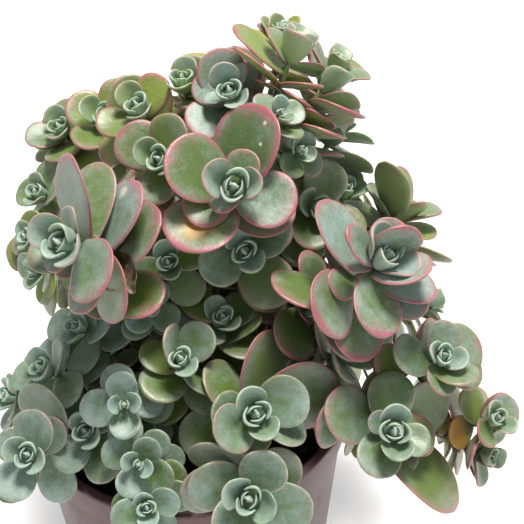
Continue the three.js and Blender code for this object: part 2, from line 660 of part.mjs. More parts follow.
function shootSolid(shoot) {
  const surface = new ShootSurface(shoot);
  const levels = levelsOf(shoot);
  const whole = shoot.fromTip.at(-1);
  const lowest = levels.at(-1);
  const bare = whole - lowest.distance - ROOT_HALF_HEIGHT;
  const bareSteps = Math.max(1, Math.round(bare / BARE_STEM_STEP));

  // From the bottom of the hole in the soil up to the lowest blades.
  const [x, y, z] = shoot.path[0];
  const rings = [surface.ringAt([x, y, z - STEM_BURIED + SOIL_GAP], [0, 0, 1], lowest.turn, STEM_RADIUS)];
  for (let i = 0; i < bareSteps; i += 1) {
    rings.push(surface.ring(whole - (bare * i) / bareSteps, lowest.turn));
  }
  rings.push(surface.ring(lowest.distance + ROOT_HALF_HEIGHT, lowest.turn));
  const [first, second, third, fourth] = rings[0];
  surface.triangles.push([third, second, first], [fourth, third, first]);
  for (let r = 1; r < rings.length; r += 1) {
    for (let i = 0; i < STEM_CORNERS; i += 1) surface.face(rings[r - 1], rings[r], i);
  }

  // Blade by blade up to the bud.
  let below = rings.at(-1);
  let belowAt = lowest.distance + ROOT_HALF_HEIGHT;
  for (const level of levels.toReversed()) {
    const shared = belowAt - level.distance - ROOT_HALF_HEIGHT < SHARED_RING_BELOW;
    const lower = shared ? below : surface.ring(level.distance + ROOT_HALF_HEIGHT, level.turn);
    const upper = surface.ring(level.distance - ROOT_HALF_HEIGHT, level.turn);
    for (let i = 0; i < STEM_CORNERS; i += 1) {
      if (!shared) surface.face(below, lower, i);
      const at = level.faces.indexOf(i);
      if (at < 0) surface.face(lower, upper, i);
      else surface.blade(level.blades[at], lower, upper, i);
    }
    below = upper;
    belowAt = level.distance - ROOT_HALF_HEIGHT;
  }

  // The bud, four-sided and pointed.
  const wide = shoot.size * BUD_SHARE;
  const middle = add(shoot.tip, scale(shoot.axis, BUD_WIDEST_ABOVE));
  const belt = surface.ringAt(middle, shoot.axis, levels[0].turn, wide);
  const point = surface.addPoint(add(shoot.tip, scale(shoot.axis, shoot.size * BUD_LONG)));
  for (let i = 0; i < STEM_CORNERS; i += 1) {
    surface.face(below, belt, i);
    surface.triangles.push([belt[i], belt[(i + 1) % STEM_CORNERS], point]);
  }
  return solidFrom(surface.points, surface.triangles);
}

// Pot
function potSolid() {
  const profile = [
    [0, 0],
    [POT_FOOT_RADIUS - POT_FOOT_CHAMFER, 0],
    [POT_FOOT_RADIUS, POT_FOOT_CHAMFER],
    [POT_NECK_RADIUS, POT_HEIGHT - RIM_BAND_HEIGHT],
    [POT_RIM_RADIUS - RIM_LIP_ROUND / 2, POT_HEIGHT - RIM_BAND_HEIGHT],
    [POT_RIM_RADIUS, POT_HEIGHT - RIM_BAND_HEIGHT + RIM_LIP_ROUND],
    [POT_RIM_RADIUS, POT_HEIGHT - RIM_LIP_ROUND],
    [POT_RIM_RADIUS - RIM_LIP_ROUND, POT_HEIGHT],
    [POT_INNER_TOP + RIM_LIP_ROUND, POT_HEIGHT],
    [POT_INNER_TOP, POT_HEIGHT - RIM_LIP_ROUND],
    [POT_INNER_FOOT, POT_FLOOR],
    [0, POT_FLOOR],
  ].map(([x, y]) => new THREE.Vector2(x, y));
  let pot = solidFromGeometry(standUp(new THREE.LatheGeometry(profile, POT_SIDES)));
  for (let i = 0; i < DRAIN_HOLES; i += 1) {
    const turn = (2 * Math.PI * i) / DRAIN_HOLES;
    const drill = new THREE.CylinderGeometry(DRAIN_RADIUS, DRAIN_RADIUS, POT_FLOOR * 3, DRAIN_SIDES);
    const hole = standUp(drill);
    hole.translate(DRAIN_CIRCLE_RADIUS * Math.cos(turn), DRAIN_CIRCLE_RADIUS * Math.sin(turn), 0);
    pot = pot.subtract(solidFromGeometry(hole));
  }
  return pot;
}

// Soil
function soilSolid(shoots) {
  const foot = POT_INNER_FOOT - SOIL_GAP;
  const wallSlope = (POT_INNER_TOP - POT_INNER_FOOT) / (POT_HEIGHT - RIM_LIP_ROUND - POT_FLOOR);
  const edgeHeight = SOIL_HEIGHT - SOIL_EDGE_DROP;
  const edge = foot + wallSlope * (edgeHeight - POT_FLOOR - SOIL_GAP);
  const profile = [
    [0, POT_FLOOR + SOIL_GAP],
    [foot, POT_FLOOR + SOIL_GAP],
    [edge, edgeHeight],
    [edge - SOIL_EDGE_DROP * 2, SOIL_HEIGHT],
    [0, SOIL_HEIGHT],
  ].map(([x, y]) => new THREE.Vector2(x * Math.cos(Math.PI / SOIL_SIDES), y));
  let soil = solidFromGeometry(standUp(new THREE.LatheGeometry(profile, SOIL_SIDES)));
  const radius = (STEM_RADIUS + STEM_HOLE_GAP) / Math.cos(Math.PI / STEM_HOLE_SIDES);
  for (const shoot of shoots) {
    const [x, y] = shoot.path[0];
    const drill = new THREE.CylinderGeometry(radius, radius, STEM_BURIED * 2, STEM_HOLE_SIDES);
    const hole = standUp(drill);
    hole.translate(x, y, SOIL_HEIGHT);
    soil = soil.subtract(solidFromGeometry(hole));
  }
  return soil;
}

// Turns a geometry that stands along Y so that it stands along Z.
function standUp(geometry) {
  return geometry.rotateX(Math.PI / 2);
}

// Materials
const potPlastic = new THREE.MeshStandardMaterial({ name: "pot_plastic", color: 0x4a2a30, roughness: 0.55 });
const pottingSoil = new THREE.MeshStandardMaterial({ name: "potting_soil", color: 0x2b2019, roughness: 1 });
const leafGreen = new THREE.MeshStandardMaterial({ name: "leaf", color: 0x7f9c8c, roughness: 0.6 });

// The object
const roots = placeRoots(SHOOTS);
const shoots = SHOOTS.map((row, i) => makeShoot(row, roots[i], i));
growBlades(shoots);

const object = new THREE.Group();
object.add(meshFrom(potSolid(), "pot", potPlastic));
object.add(meshFrom(soilSolid(shoots), "soil", pottingSoil));
for (const shoot of shoots) {
  object.add(meshFrom(shootSolid(shoot), "shoot_" + shoot.name, leafGreen));
}

export default object;
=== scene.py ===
"""A potted stonecrop: a round plastic pot of soil under a mound of fleshy, round-leaved stems.

Blender works in metres, +Z up. The plant itself is grown in millimetres and scaled at the end.
"""
import math

import bmesh
import bpy
import numpy as np
from bpy.props import FloatProperty, FloatVectorProperty, IntProperty, PointerProperty
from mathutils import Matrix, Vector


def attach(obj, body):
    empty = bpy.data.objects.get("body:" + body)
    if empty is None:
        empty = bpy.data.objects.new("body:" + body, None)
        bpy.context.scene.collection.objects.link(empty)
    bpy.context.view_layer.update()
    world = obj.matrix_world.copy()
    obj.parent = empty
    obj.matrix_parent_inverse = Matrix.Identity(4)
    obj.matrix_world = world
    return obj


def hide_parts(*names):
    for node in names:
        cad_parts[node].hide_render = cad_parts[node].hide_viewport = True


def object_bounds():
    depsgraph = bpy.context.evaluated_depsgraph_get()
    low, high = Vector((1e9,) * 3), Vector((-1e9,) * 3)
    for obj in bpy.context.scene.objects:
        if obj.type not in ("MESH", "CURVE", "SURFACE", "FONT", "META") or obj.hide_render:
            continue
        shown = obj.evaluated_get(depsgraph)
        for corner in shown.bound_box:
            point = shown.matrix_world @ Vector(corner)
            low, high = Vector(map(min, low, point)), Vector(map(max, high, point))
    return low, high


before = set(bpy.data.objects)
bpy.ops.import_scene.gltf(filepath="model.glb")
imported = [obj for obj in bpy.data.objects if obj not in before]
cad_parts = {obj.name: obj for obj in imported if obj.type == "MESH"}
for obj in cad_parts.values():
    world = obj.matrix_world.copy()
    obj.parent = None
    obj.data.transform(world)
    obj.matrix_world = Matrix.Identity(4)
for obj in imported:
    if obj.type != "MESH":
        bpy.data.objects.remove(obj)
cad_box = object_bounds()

bl_info = {
    "name": "Potted stonecrop",
    "version": (1, 0, 0),
    "blender": (4, 5, 0),
    "location": "3D View > Sidebar > Stonecrop",
    "description": "Dresses the potted stonecrop: pot, soil, crumbs, leafy stems, floor and lights",
    "category": "Object",
}

MM = 0.001

# Pot and soil, in millimetres

POT_HEIGHT = 105.0
POT_RIM_RADIUS = 62.5
POT_NECK_RADIUS = 60.5
POT_FOOT_RADIUS = 56.0
POT_WALL = 2.0
POT_FLOOR = 2.5
RIM_BAND_HEIGHT = 12.0
DRAIN_HOLES = 6
DRAIN_RADIUS = 4.0
DRAIN_CIRCLE_RADIUS = 36.0
SOIL_HEIGHT = 97.0

# Stems, in millimetres

STEM_RADIUS = 1.5
STEM_STEPS = 36
STEM_BURIED = 6.0
ROOT_DISC_RADIUS = 52.0
ROOT_SPACING = 9.0
ROOT_ROUNDS = 60
ROOT_REACH = 0.95
LEAST_APART = 0.001
STEM_RISE = 0.45
STEM_HOLD = 0.45

# Leaves, in millimetres

BLADE_RATIO = 0.84
BLADE_HALF_THICKNESS = 1.0
FULL_SIZE = 24.0
LEAST_LENGTH = 4.4
BUD_ROOM = 0.13
BUD_MIDDLE = 1.0
THIN_BASE = 0.35
THIN_SLOPE = 0.035

# Growth, pair by pair from the bud down: how far below the tip each pair stands, its share of the
# full size, how far it opens in degrees, how much it arches lengthwise and how much it cups across

PAIR_DOWN = [2, 4, 6.5, 10, 14.5, 20, 27, 35, 44, 54, 65]
PAIR_SHARE = [0.3, 0.52, 0.8, 1, 1, 0.97, 0.92, 0.88, 0.82, 0.76, 0.7]
PAIR_OPEN = [36, 54, 68, 78, 85, 90, 92, 92, 90, 88, 86]
PAIR_ARCH = [0.12, 0.08, 0.03, 0, -0.04, -0.08]
PAIR_CUP = [0.24, 0.18, 0.14, 0.12, 0.1, 0.08]
SMALL_SIZE_SQUEEZE = 0.4
SPREAD = {"around": 9, "size": 0.07, "open": 5, "roll": 8, "arch": 0.03}
SEED = 7

# What a leaf tries, in turn, to find free room: extra opening, extra turn round the stem, share of size

TRIES = [
    (0, 0, 1), (-7, 0, 1), (7, 0, 1), (0, 12, 1), (0, -12, 1), (-14, 0, 1), (14, 0, 1),
    (-8, 14, 0.94), (-8, -14, 0.94), (8, 14, 0.94), (8, -14, 0.94), (-22, 0, 0.94), (22, 0, 0.94),
    (0, 0, 0.84), (-14, 12, 0.84), (-14, -12, 0.84), (14, 12, 0.84), (14, -12, 0.84), (-28, 0, 0.84),
    (28, 0, 0.84), (0, 24, 0.8), (0, -24, 0.8), (-20, 24, 0.8), (-20, -24, 0.8),
    (0, 0, 0.7), (-16, 0, 0.7), (16, 0, 0.7), (-34, 0, 0.75), (-16, 20, 0.66), (-16, -20, 0.66),
]

# Room that leaves keep from each other, from stems and from the pot

EDGE_GAP = 1.6
MIDDLE_GAP = 2.3
OWN_EDGE_GAP = 0.8
OWN_MIDDLE_GAP = 1.4
OWN_FREE_FROM = 0.14
MIDDLE_FREE_MORE = 0.1
SIDE_MARGIN = 0.5
END_MARGIN_SHARE = 0.4
REACH_MARGIN = 2.5
STEM_MARGIN = 0.6
STEM_CLEARANCE = 0.5
STEM_REACH_MARGIN = 1.5
OWN_BUD_RADIUS = 0.8
OWN_BUD_GAP = 1.5
RIM_CLEARANCE = 2
SOIL_CLEARANCE = 1.5
GROUND_CLEARANCE = 4
RIM_ZONE_OUTSIDE = 2.5
RIM_ZONE_INSIDE = 5.5
LOWEST_BLADE_ABOVE_SOIL = 4

# The shoots: name, tip x, y and z, the bearing and lift that the tip faces in degrees, the turn of its
# first pair, the length of a full leaf, the number of pairs, and what is special about it. A set leaf is
# (pair, side, turn round the stem, opening, length, roll, extra distance below the tip).

SHOOTS = [
    ("crown_front", 19, -6, 201, -85, 40, 65, 26, 11, {
        "ratio": 0.9,
        "blades": [
            (2, 0, 60, 75, 13, -20), (2, 1, -115, 55, 11, 30), (3, 0, -20, 70, 22, -5),
            (3, 1, 150, 70, 25, 10), (4, 0, 70, 60, 31, -40), (4, 1, -135, 75, 27, 20),
        ],
    }),
    ("crown_upper", 17, 31, 214, -95, 45, 20, 21, 7, {
        "blades": [
            (2, 0, -165, 90, 9, 40), (2, 1, 65, 70, 12, -45), (3, 0, 155, 70, 15, -10, 1),
            (3, 1, -15, 65, 15, -40), (4, 0, -135, 65, 19, -5), (4, 1, 55, 60, 19, -30),
        ],
    }),
    ("crown_right", 40, 43, 225, 40, 45, 30, 25, 9, {
        "ratio": 0.8,
        "rise": 0.2,
        "hold": 0.15,
        "blades": [
            (2, 0, -100, 95, 14, -25), (2, 1, 40, 55, 13, -20), (3, 0, -105, 105, 19, -20),
            (3, 1, 45, 70, 23, -15), (5, 0, -140, 80, 24, -25), (5, 1, 45, 65, 25, -5),
        ],
    }),
    ("crown_side", 50, 41, 212, 40, 45, 75, 23, 7, {
        "ratio": 0.8,
        "rise": 0.5,
        "hold": 0.15,
        "blades": [
            (2, 0, -145, 75, 15, -20), (4, 1, -100, 75, 20, -30), (5, 0, 160, 70, 22, 0),
        ],
    }),
    ("crown_mid", 34, 15, 215, -70, 35, 10, 12, 5, {"rise": 0.4, "hold": 0.15}),
    ("crown_low", 41, 15, 201, -60, 25, 40, 13, 5, {"rise": 0.55, "hold": 0.3}),
    ("left_mid", -6, 14, 198, -110, 40, 80, 21, 11, {}),
    ("centre_low", 22, -5, 174, -90, 35, 35, 22, 10, {}),
    ("right_main", 67, -18, 182, -45, 55, 10, 26, 9, {
        "ratio": 0.82,
        "blades": [
            (2, 0, 30, 50, 16, -10), (2, 1, 165, 90, 9, 40), (3, 0, 110, 65, 18, 20),
            (3, 1, -40, 50, 19, -30), (4, 0, 85, 80, 27, 10), (4, 1, -60, 55, 26, -20),
            (5, 0, -170, 80, 27, -15), (5, 1, -120, 65, 29, 5, 2), (6, 0, 170, 85, 27, 30),
            (6, 1, -120, 75, 26, 10),
        ],
    }),
    ("left_main", -33, -23, 192, -115, 40, 70, 26, 10, {
        "ratio": 0.8,
        "blades": [
            (2, 0, 100, 65, 12, -30), (2, 1, -115, 70, 11, 10), (3, 1, -140, 60, 17, 10),
            (4, 0, 115, 65, 31, -40), (4, 1, -55, 70, 24, 20), (5, 0, 65, 65, 28, -20),
            (5, 1, -40, 75, 27, 40), (6, 0, 105, 55, 35, -40), (6, 1, 35, 50, 28, -5),
        ],
    }),
    ("left_low", 1, -31, 149, -85, 55, 40, 19, 7, {
        "blades": [
            (3, 0, 120, 30, 17, 45), (3, 1, -50, 85, 15, -45), (4, 0, 160, 65, 16, 20),
            (4, 1, -135, 60, 19, 0, 2),
        ],
    }),
    ("front_mid", 26, -49, 142, -80, 55, 20, 23, 7, {
        "blades": [
            (3, 0, -30, 75, 19, -45), (3, 1, 170, 55, 18, 0), (4, 0, 15, 70, 32, 30),
            (4, 1, -105, 45, 16, 10), (5, 0, 120, 80, 22, 35), (5, 1, 60, 80, 30, 35, -2.2),
        ],
    }),
    ("right_low", 71, -50, 135, -100, 50, 5, 24, 7, {
        "blades": [
            (2, 0, 155, 80, 9, 0), (2, 1, -20, 65, 13, -20), (3, 0, 90, 90, 19, -15),
            (3, 1, -115, 65, 18, 20), (4, 0, 25, 45, 33, 15), (4, 1, 165, 95, 23, 15),
            (5, 0, 75, 75, 29, -25), (5, 1, -50, 35, 40, -30),
        ],
    }),
    ("front_low", 24, -68, 124, -100, 50, 70, 23, 7, {
        "blades": [
            (4, 0, 175, 80, 23, -10), (4, 1, 40, 70, 20, -5), (5, 0, 125, 75, 24, -45),
        ],
    }),
    ("left_corner", -50, -51, 124, -70, 55, 50, 20, 7, {
        "blades": [
            (3, 0, 35, 90, 15, 5), (3, 1, 140, 60, 14, 15), (4, 0, -75, 90, 19, -15),
            (4, 1, -130, 50, 20, 10, -2.2), (5, 0, 70, 85, 25, 15),
        ],
    }),
    ("small_a", -17, -44, 141, -75, 50, 85, 14, 7, {}),
    ("small_b", -12, -58, 128, -80, 50, 55, 14, 7, {}),
    ("small_c", -9, -68, 119, -80, 50, 10, 15, 6, {}),
    ("gap_a", -11, -15, 158, -85, 45, 60, 13, 7, {}),
    ("gap_e", -4, -4, 168, -90, 45, 20, 18, 8, {}),
    ("gap_b", 14, -12, 149, -65, 70, 20, 19, 7, {}),
    ("gap_c", 48, 18, 175, -80, 35, 60, 21, 8, {"rise": 0.3}),
    ("gap_d", 57, -22, 143, -95, 55, 60, 20, 7, {"rise": 0.6, "hold": 0.15}),
    ("far_left_a", -51, 65, 179, -110, 55, 40, 20, 7, {"rise": 0.7}),
    ("far_left_b", -32, 58, 188, -95, 60, 70, 22, 7, {}),
    ("left_back_a", -57, 40, 166, -125, 45, 20, 17, 7, {}),
    ("left_back_b", -58, 21, 160, -135, 35, 60, 15, 6, {}),
    ("left_under", -53, 3, 157, -130, 15, 10, 14, 6, {}),
    ("side_left_a", -37, -11, 144, -135, 50, 30, 17, 7, {}),
    ("side_left_b", -48, -24, 137, -130, 45, 60, 18, 7, {"rise": 0.1, "hold": 0.15}),
    ("side_left_c", -65, -17, 115, -155, 50, 20, 17, 6, {"hold": 0.4}),
    ("mid_left_a", -32, -42, 125, -80, 60, 40, 19, 7, {}),
    ("right_bud", 88, -31, 150, -80, 65, 70, 17, 7, {"rise": 0.7}),
    ("right_far_a", 110, -33, 121, -65, 65, 15, 16, 7, {}),
    ("right_far_b", 109, -37, 106, -65, 40, 50, 15, 6, {"rise": 0.5, "hold": 0.25}),
    ("right_back", 80, 40, 160, 75, 80, 20, 22, 8, {}),
    ("right_gap", 60, 44, 164, -45, 70, 30, 20, 8, {}),
    ("top_back", 56, 69, 205, 5, 60, 80, 20, 7, {"rise": 0.55}),
    ("top_left", -16, 41, 202, -115, 60, 55, 21, 7, {}),
    ("top_mid", 0, 47, 209, -115, 70, 15, 20, 7, {}),
    ("top_far", 36, 79, 213, 40, 80, 15, 15, 6, {}),
    ("back_a", 22, 62, 196, 75, 60, 30, 20, 9, {}),
    ("back_b", -14, 68, 184, 110, 50, 60, 19, 9, {}),
    ("back_c", 58, 62, 182, 50, 40, 10, 20, 8, {}),
    ("back_d", 20, 82, 162, 80, 30, 45, 20, 7, {}),
    ("back_e", -50, 68, 160, 130, 30, 70, 19, 7, {}),
    ("back_f", 84, 56, 142, 35, 25, 20, 19, 7, {}),
    ("back_g", -22, 86, 134, 105, 15, 15, 18, 7, {}),
    ("back_h", 52, 84, 130, 60, 10, 65, 18, 7, {}),
    ("back_i", -62, 66, 116, 135, 5, 40, 17, 6, {}),
    ("back_j", 18, 92, 108, 80, 0, 30, 16, 6, {}),
    ("back_k", 78, 62, 110, 40, 0, 75, 16, 6, {}),
    ("side_a", 96, 24, 124, 10, 10, 25, 17, 6, {}),
    ("back_l", -34, 84, 104, 120, -5, 10, 14, 5, {"rise": 0.5}),
]

# How each shoot's leaves are coloured: red along the margins, yellow-green as of light through the leaf
# (painted light), pale waxy bloom, and a cream line along the rim, each from 0 to 1. The bloom amount also
# paints light and shade: more on heads that stand in the light, less on heads in shade. The cream line is
# partly the leaf's pale margin and partly a painted highlight on the rounded rim.

PLAIN_LOOK = (0.35, 0.25, 0.5, 0.4)
LOOKS = {
    "crown_front": (0.8, 0.3, 0.42, 0.3),
    "crown_upper": (0.6, 0.15, 0.9, 0.4),
    "crown_right": (1.0, 0.85, 0.32, 0.5),
    "crown_side": (0.9, 0.5, 0.3, 0.4),
    "crown_mid": (0.4, 0.2, 0.45, 0.3),
    "crown_low": (0.35, 0.1, 0.35, 0.4),
    "left_mid": (0.65, 0.65, 0.3, 0.2),
    "centre_low": (0.35, 0.1, 0.45, 0.5),
    "right_main": (0.75, 0.08, 0.85, 0.5),
    "left_main": (0.65, 0.15, 0.62, 0.5),
    "left_low": (0.3, 0.2, 0.55, 0.5),
    "front_mid": (0.4, 0.2, 0.55, 0.5),
    "right_low": (0.45, 0.15, 0.42, 0.5),
    "front_low": (0.3, 0.08, 0.38, 0.6),
    "left_corner": (0.35, 0.05, 0.95, 0.4),
    "small_a": (0.2, 0.05, 0.88, 0.4),
    "small_b": (0.15, 0.05, 0.5, 0.4),
    "small_c": (0.15, 0.1, 0.62, 0.4),
    "gap_a": (0.15, 0.1, 0.6, 0.3),
    "gap_b": (0.3, 0.3, 0.3, 0.4),
    "gap_c": (0.4, 0.35, 0.15, 0.3),
    "gap_d": (0.35, 0.3, 0.35, 0.5),
    "gap_e": (0.3, 0.35, 0.3, 0.4),
    "far_left_a": (0.5, 0.55, 0.3, 0.5),
    "far_left_b": (0.6, 0.6, 0.25, 0.3),
    "left_back_a": (0.45, 0.45, 0.4, 0.4),
    "left_back_b": (0.35, 0.4, 0.4, 0.4),
    "left_under": (0.3, 0.4, 0.45, 0.4),
    "side_left_a": (0.15, 0.1, 0.75, 0.4),
    "side_left_b": (0.2, 0.15, 0.72, 0.4),
    "side_left_c": (0.2, 0.2, 0.7, 0.4),
    "mid_left_a": (0.3, 0.1, 0.62, 0.4),
    "right_bud": (0.5, 0.25, 0.6, 0.6),
    "right_far_a": (0.7, 0.5, 0.5, 0.6),
    "right_far_b": (0.7, 0.65, 0.35, 0.5),
    "right_back": (0.5, 0.4, 0.25, 0.3),
    "right_gap": (0.4, 0.4, 0.25, 0.3),
    "top_back": (0.7, 0.6, 0.2, 0.3),
    "top_left": (0.6, 0.75, 0.25, 0.3),
    "top_mid": (0.55, 0.7, 0.3, 0.3),
    "top_far": (0.5, 0.6, 0.3, 0.3),
}


# Vectors of three plain numbers, in full precision so that the leaves grow as those of the solids do


def add(a, b):
    return (a[0] + b[0], a[1] + b[1], a[2] + b[2])


def sub(a, b):
    return (a[0] - b[0], a[1] - b[1], a[2] - b[2])


def scale(a, k):
    return (a[0] * k, a[1] * k, a[2] * k)


def dot(a, b):
    return a[0] * b[0] + a[1] * b[1] + a[2] * b[2]


def cross(a, b):
    return (a[1] * b[2] - a[2] * b[1], a[2] * b[0] - a[0] * b[2], a[0] * b[1] - a[1] * b[0])


def length(a):
    return math.sqrt(dot(a, a))


def unit(a):
    return scale(a, 1 / length(a))


DRAW_FACTOR = 16807
DRAW_LARGEST = 2147483647


def make_draw(seed):
    """A small repeatable sequence of draws between -1 and 1."""
    state = [seed]

    def draw():
        state[0] = (state[0] * DRAW_FACTOR) % DRAW_LARGEST
        return state[0] / DRAW_LARGEST * 2 - 1

    return draw


# Leaf outline

WIDEST_AT = 0.6
OUTLINE_AT = [0.15, 0.3, 0.45, 0.62, 0.76, 0.88, 0.97]
MIDDLE_AT = 0.55
MIDDLE_POINTS = [(0.25, 0), (0.5, 0), (0.75, 0), (MIDDLE_AT, 0.5), (MIDDLE_AT, -0.5)]
NEAR_ROOT = 0.02
NEAR_TIP = 0.985


def half_width(u):
    """Half width of a leaf, 1 at its widest, at a share of its length."""
    if u <= 0 or u >= 1:
        return 0.0
    if u < WIDEST_AT:
        s = math.sin(math.pi / 2 * u / WIDEST_AT)
        return s * math.sqrt(s)
    k = (u - WIDEST_AT) / (1 - WIDEST_AT)
    return math.sqrt(1 - k * k)


OUTLINE_POINTS = (
    [(0, 0)]
    + [(u, half_width(u)) for u in OUTLINE_AT]
    + [(1, 0)]
    + [(u, -half_width(u)) for u in reversed(OUTLINE_AT)]
)


class Blade:
    """One leaf: a base, three directions and its measures."""

    def __init__(self, shoot, base, along, across, out, size, ratio, arch, cup, pair):
        self.shoot = shoot
        self.base = base
        self.along = along
        self.across = across
        self.out = out
        self.length = size
        self.half = size * ratio / 2
        self.arch = arch
        self.cup = cup
        self.pair = pair
        self.side = None
        self.distance = None
        self.mark = 0
        self.crumple = 0.0
        self.outline = [self.point(u, v) for u, v in OUTLINE_POINTS]
        self.middle = [self.point(u, v) for u, v in MIDDLE_POINTS]
        self.centre = self.point(MIDDLE_AT, 0)
        self.reach = max(length(sub(p, self.centre)) for p in self.outline)

    def lift(self, u, v):
        return self.length * self.arch * u * u + self.half * self.cup * v * v

    def point(self, u, v, above=0.0):
        """A point of the middle surface: u along it, v across it in half widths."""
        aside = add(scale(self.along, u * self.length), scale(self.across, v * self.half))
        return add(add(self.base, aside), scale(self.out, self.lift(u, v) + above))

    def local(self, p):
        """Where a point lies in the leaf's own terms."""
        q = sub(p, self.base)
        u = dot(q, self.along) / self.length
        v = dot(q, self.across) / self.half
        return u, v, dot(q, self.out) - self.lift(u, v)


def within(u, v, margin):
    if u < -margin * END_MARGIN_SHARE or u > 1 + margin * END_MARGIN_SHARE:
        return False
    return abs(v) < half_width(min(max(u, NEAR_ROOT), NEAR_TIP)) + margin


# Room between leaves


def blade_hits(a, b, edge_gap, middle_gap, free):
    margin = SIDE_MARGIN / b.half
    count = len(a.outline)
    last = None
    for i in range(count + 1):
        here = b.local(a.outline[i % count])
        u, v, h = here
        own = OUTLINE_POINTS[i % count][0]
        if within(u, v, margin) and u > free and abs(h) < edge_gap and (free < 0 or own > free):
            return True
        if last and h * last[2] < 0:
            t = last[2] / (last[2] - h)
            cu, cv = last[0] + (u - last[0]) * t, last[1] + (v - last[1]) * t
            off_root = free < 0 or own > free or OUTLINE_POINTS[i - 1][0] > free
            if within(cu, cv, margin) and cu > free and off_root:
                return True
        last = here
    for i, p in enumerate(a.middle):
        if free > 0 and MIDDLE_POINTS[i][0] < free + MIDDLE_FREE_MORE:
            continue
        u, v, h = b.local(p)
        if within(u, v, margin) and abs(h) < middle_gap and u > free:
            return True
    return False


def blades_meet(a, b):
    if length(sub(a.centre, b.centre)) > a.reach + b.reach + REACH_MARGIN:
        return False
    if a.shoot == b.shoot:
        gaps = (OWN_EDGE_GAP, OWN_MIDDLE_GAP, OWN_FREE_FROM)
    else:
        gaps = (EDGE_GAP, MIDDLE_GAP, -1)
    return blade_hits(a, b, *gaps) or blade_hits(b, a, *gaps)


def clear_of_pot(blade):
    for x, y, z in blade.outline + blade.middle:
        r = math.sqrt(x * x + y * y)
        if r >= POT_RIM_RADIUS + RIM_ZONE_OUTSIDE:
            lowest = GROUND_CLEARANCE
        elif r > POT_RIM_RADIUS - RIM_ZONE_INSIDE:
            lowest = POT_HEIGHT + RIM_CLEARANCE
        else:
            lowest = SOIL_HEIGHT + SOIL_CLEARANCE
        if z < lowest:
            return False
    return True


def clear_of_stems(blade, stem_points):
    for shoot, p, radius, is_bud in stem_points:
        if shoot == blade.shoot:
            if not is_bud:
                continue
            u, v, h = blade.local(p)
            if within(u, v, OWN_BUD_RADIUS / blade.half) and abs(h) < OWN_BUD_GAP:
                return False
            continue
        if length(sub(p, blade.centre)) > blade.reach + radius + STEM_REACH_MARGIN:
            continue
        u, v, h = blade.local(p)
        near = within(u, v, (radius + STEM_MARGIN) / blade.half)
        if near and abs(h) < BLADE_HALF_THICKNESS + radius + STEM_CLEARANCE:
            return False
    return True


# Stems


def place_roots(rows):
    """Each stem stands towards its tip, nearer the rim the lower its tip is, and roots push apart."""
    roots = []
    for row in rows:
        x, y, z = row[1:4]
        far = math.sqrt(x * x + y * y)
        lean = math.atan2(far, max(z - SOIL_HEIGHT, 1)) / (math.pi / 2)
        radius = ROOT_DISC_RADIUS * ROOT_REACH * min(1, lean)
        roots.append([radius * x / far, radius * y / far])
    for _ in range(ROOT_ROUNDS):
        for i in range(len(roots)):
            for j in range(i + 1, len(roots)):
                dx, dy = roots[j][0] - roots[i][0], roots[j][1] - roots[i][1]
                apart = math.sqrt(dx * dx + dy * dy)
                if apart < ROOT_SPACING:
                    push = (ROOT_SPACING - apart) / 2 / max(apart, LEAST_APART)
                    roots[i] = [roots[i][0] - dx * push, roots[i][1] - dy * push]
                    roots[j] = [roots[j][0] + dx * push, roots[j][1] + dy * push]
        for root in roots:
            radius = math.sqrt(root[0] * root[0] + root[1] * root[1])
            if radius > ROOT_DISC_RADIUS:
                root[0] *= ROOT_DISC_RADIUS / radius
                root[1] *= ROOT_DISC_RADIUS / radius
    return roots


def bezier(p0, p1, p2, p3, t):
    k = 1 - t
    w = (k * k * k, 3 * k * k * t, 3 * k * t * t, t * t * t)
    return tuple(w[0] * p0[i] + w[1] * p1[i] + w[2] * p2[i] + w[3] * p3[i] for i in range(3))


class Shoot:
    """One stem, with the leaves that grow on it."""

    def __init__(self, row, root, index):
        self.name, x, y, z, bearing, lift, self.twist, self.size, self.pairs, self.special = row
        self.index = index
        bearing, lift = math.radians(bearing), math.radians(lift)
        flat = math.cos(lift)
        self.tip = (x, y, z)
        self.axis = (flat * math.cos(bearing), flat * math.sin(bearing), math.sin(lift))
        self.side = (-math.sin(bearing), math.cos(bearing), 0)
        foot = (root[0], root[1], SOIL_HEIGHT)
        span = length(sub(self.tip, foot))
        rise = add(foot, (0, 0, self.special.get("rise", STEM_RISE) * span))
        hold = sub(self.tip, scale(self.axis, self.special.get("hold", STEM_HOLD) * span))
        self.path = [bezier(foot, rise, hold, self.tip, i / STEM_STEPS) for i in range(STEM_STEPS + 1)]
        self.from_tip = [0]
        for i in range(STEM_STEPS, 0, -1):
            self.from_tip.append(self.from_tip[-1] + length(sub(self.path[i], self.path[i - 1])))
        self.blades = []
        self.extras = []
        self.fill = []

    def along(self, distance):
        """The stem's middle and its upward direction at a distance below the tip."""
        for i in range(1, STEM_STEPS + 1):
            if self.from_tip[i] >= distance or i == STEM_STEPS:
                upper, lower = self.path[STEM_STEPS - i + 1], self.path[STEM_STEPS - i]
                step = self.from_tip[i] - self.from_tip[i - 1]
                share = min(1, (distance - self.from_tip[i - 1]) / step)
                return add(upper, scale(sub(lower, upper), share)), unit(sub(upper, lower))

    def sides(self, axis):
        right = unit(sub(self.side, scale(axis, dot(self.side, axis))))
        return right, cross(axis, right)

    def set_blade(self, pair, side):
        chosen = self.special.get("blades", [])
        return next((b for b in chosen if b[0] == pair and b[1] == side), None)

    def stretch(self):
        return 1 - SMALL_SIZE_SQUEEZE + (SMALL_SIZE_SQUEEZE * self.size) / FULL_SIZE


# Growing the leaves


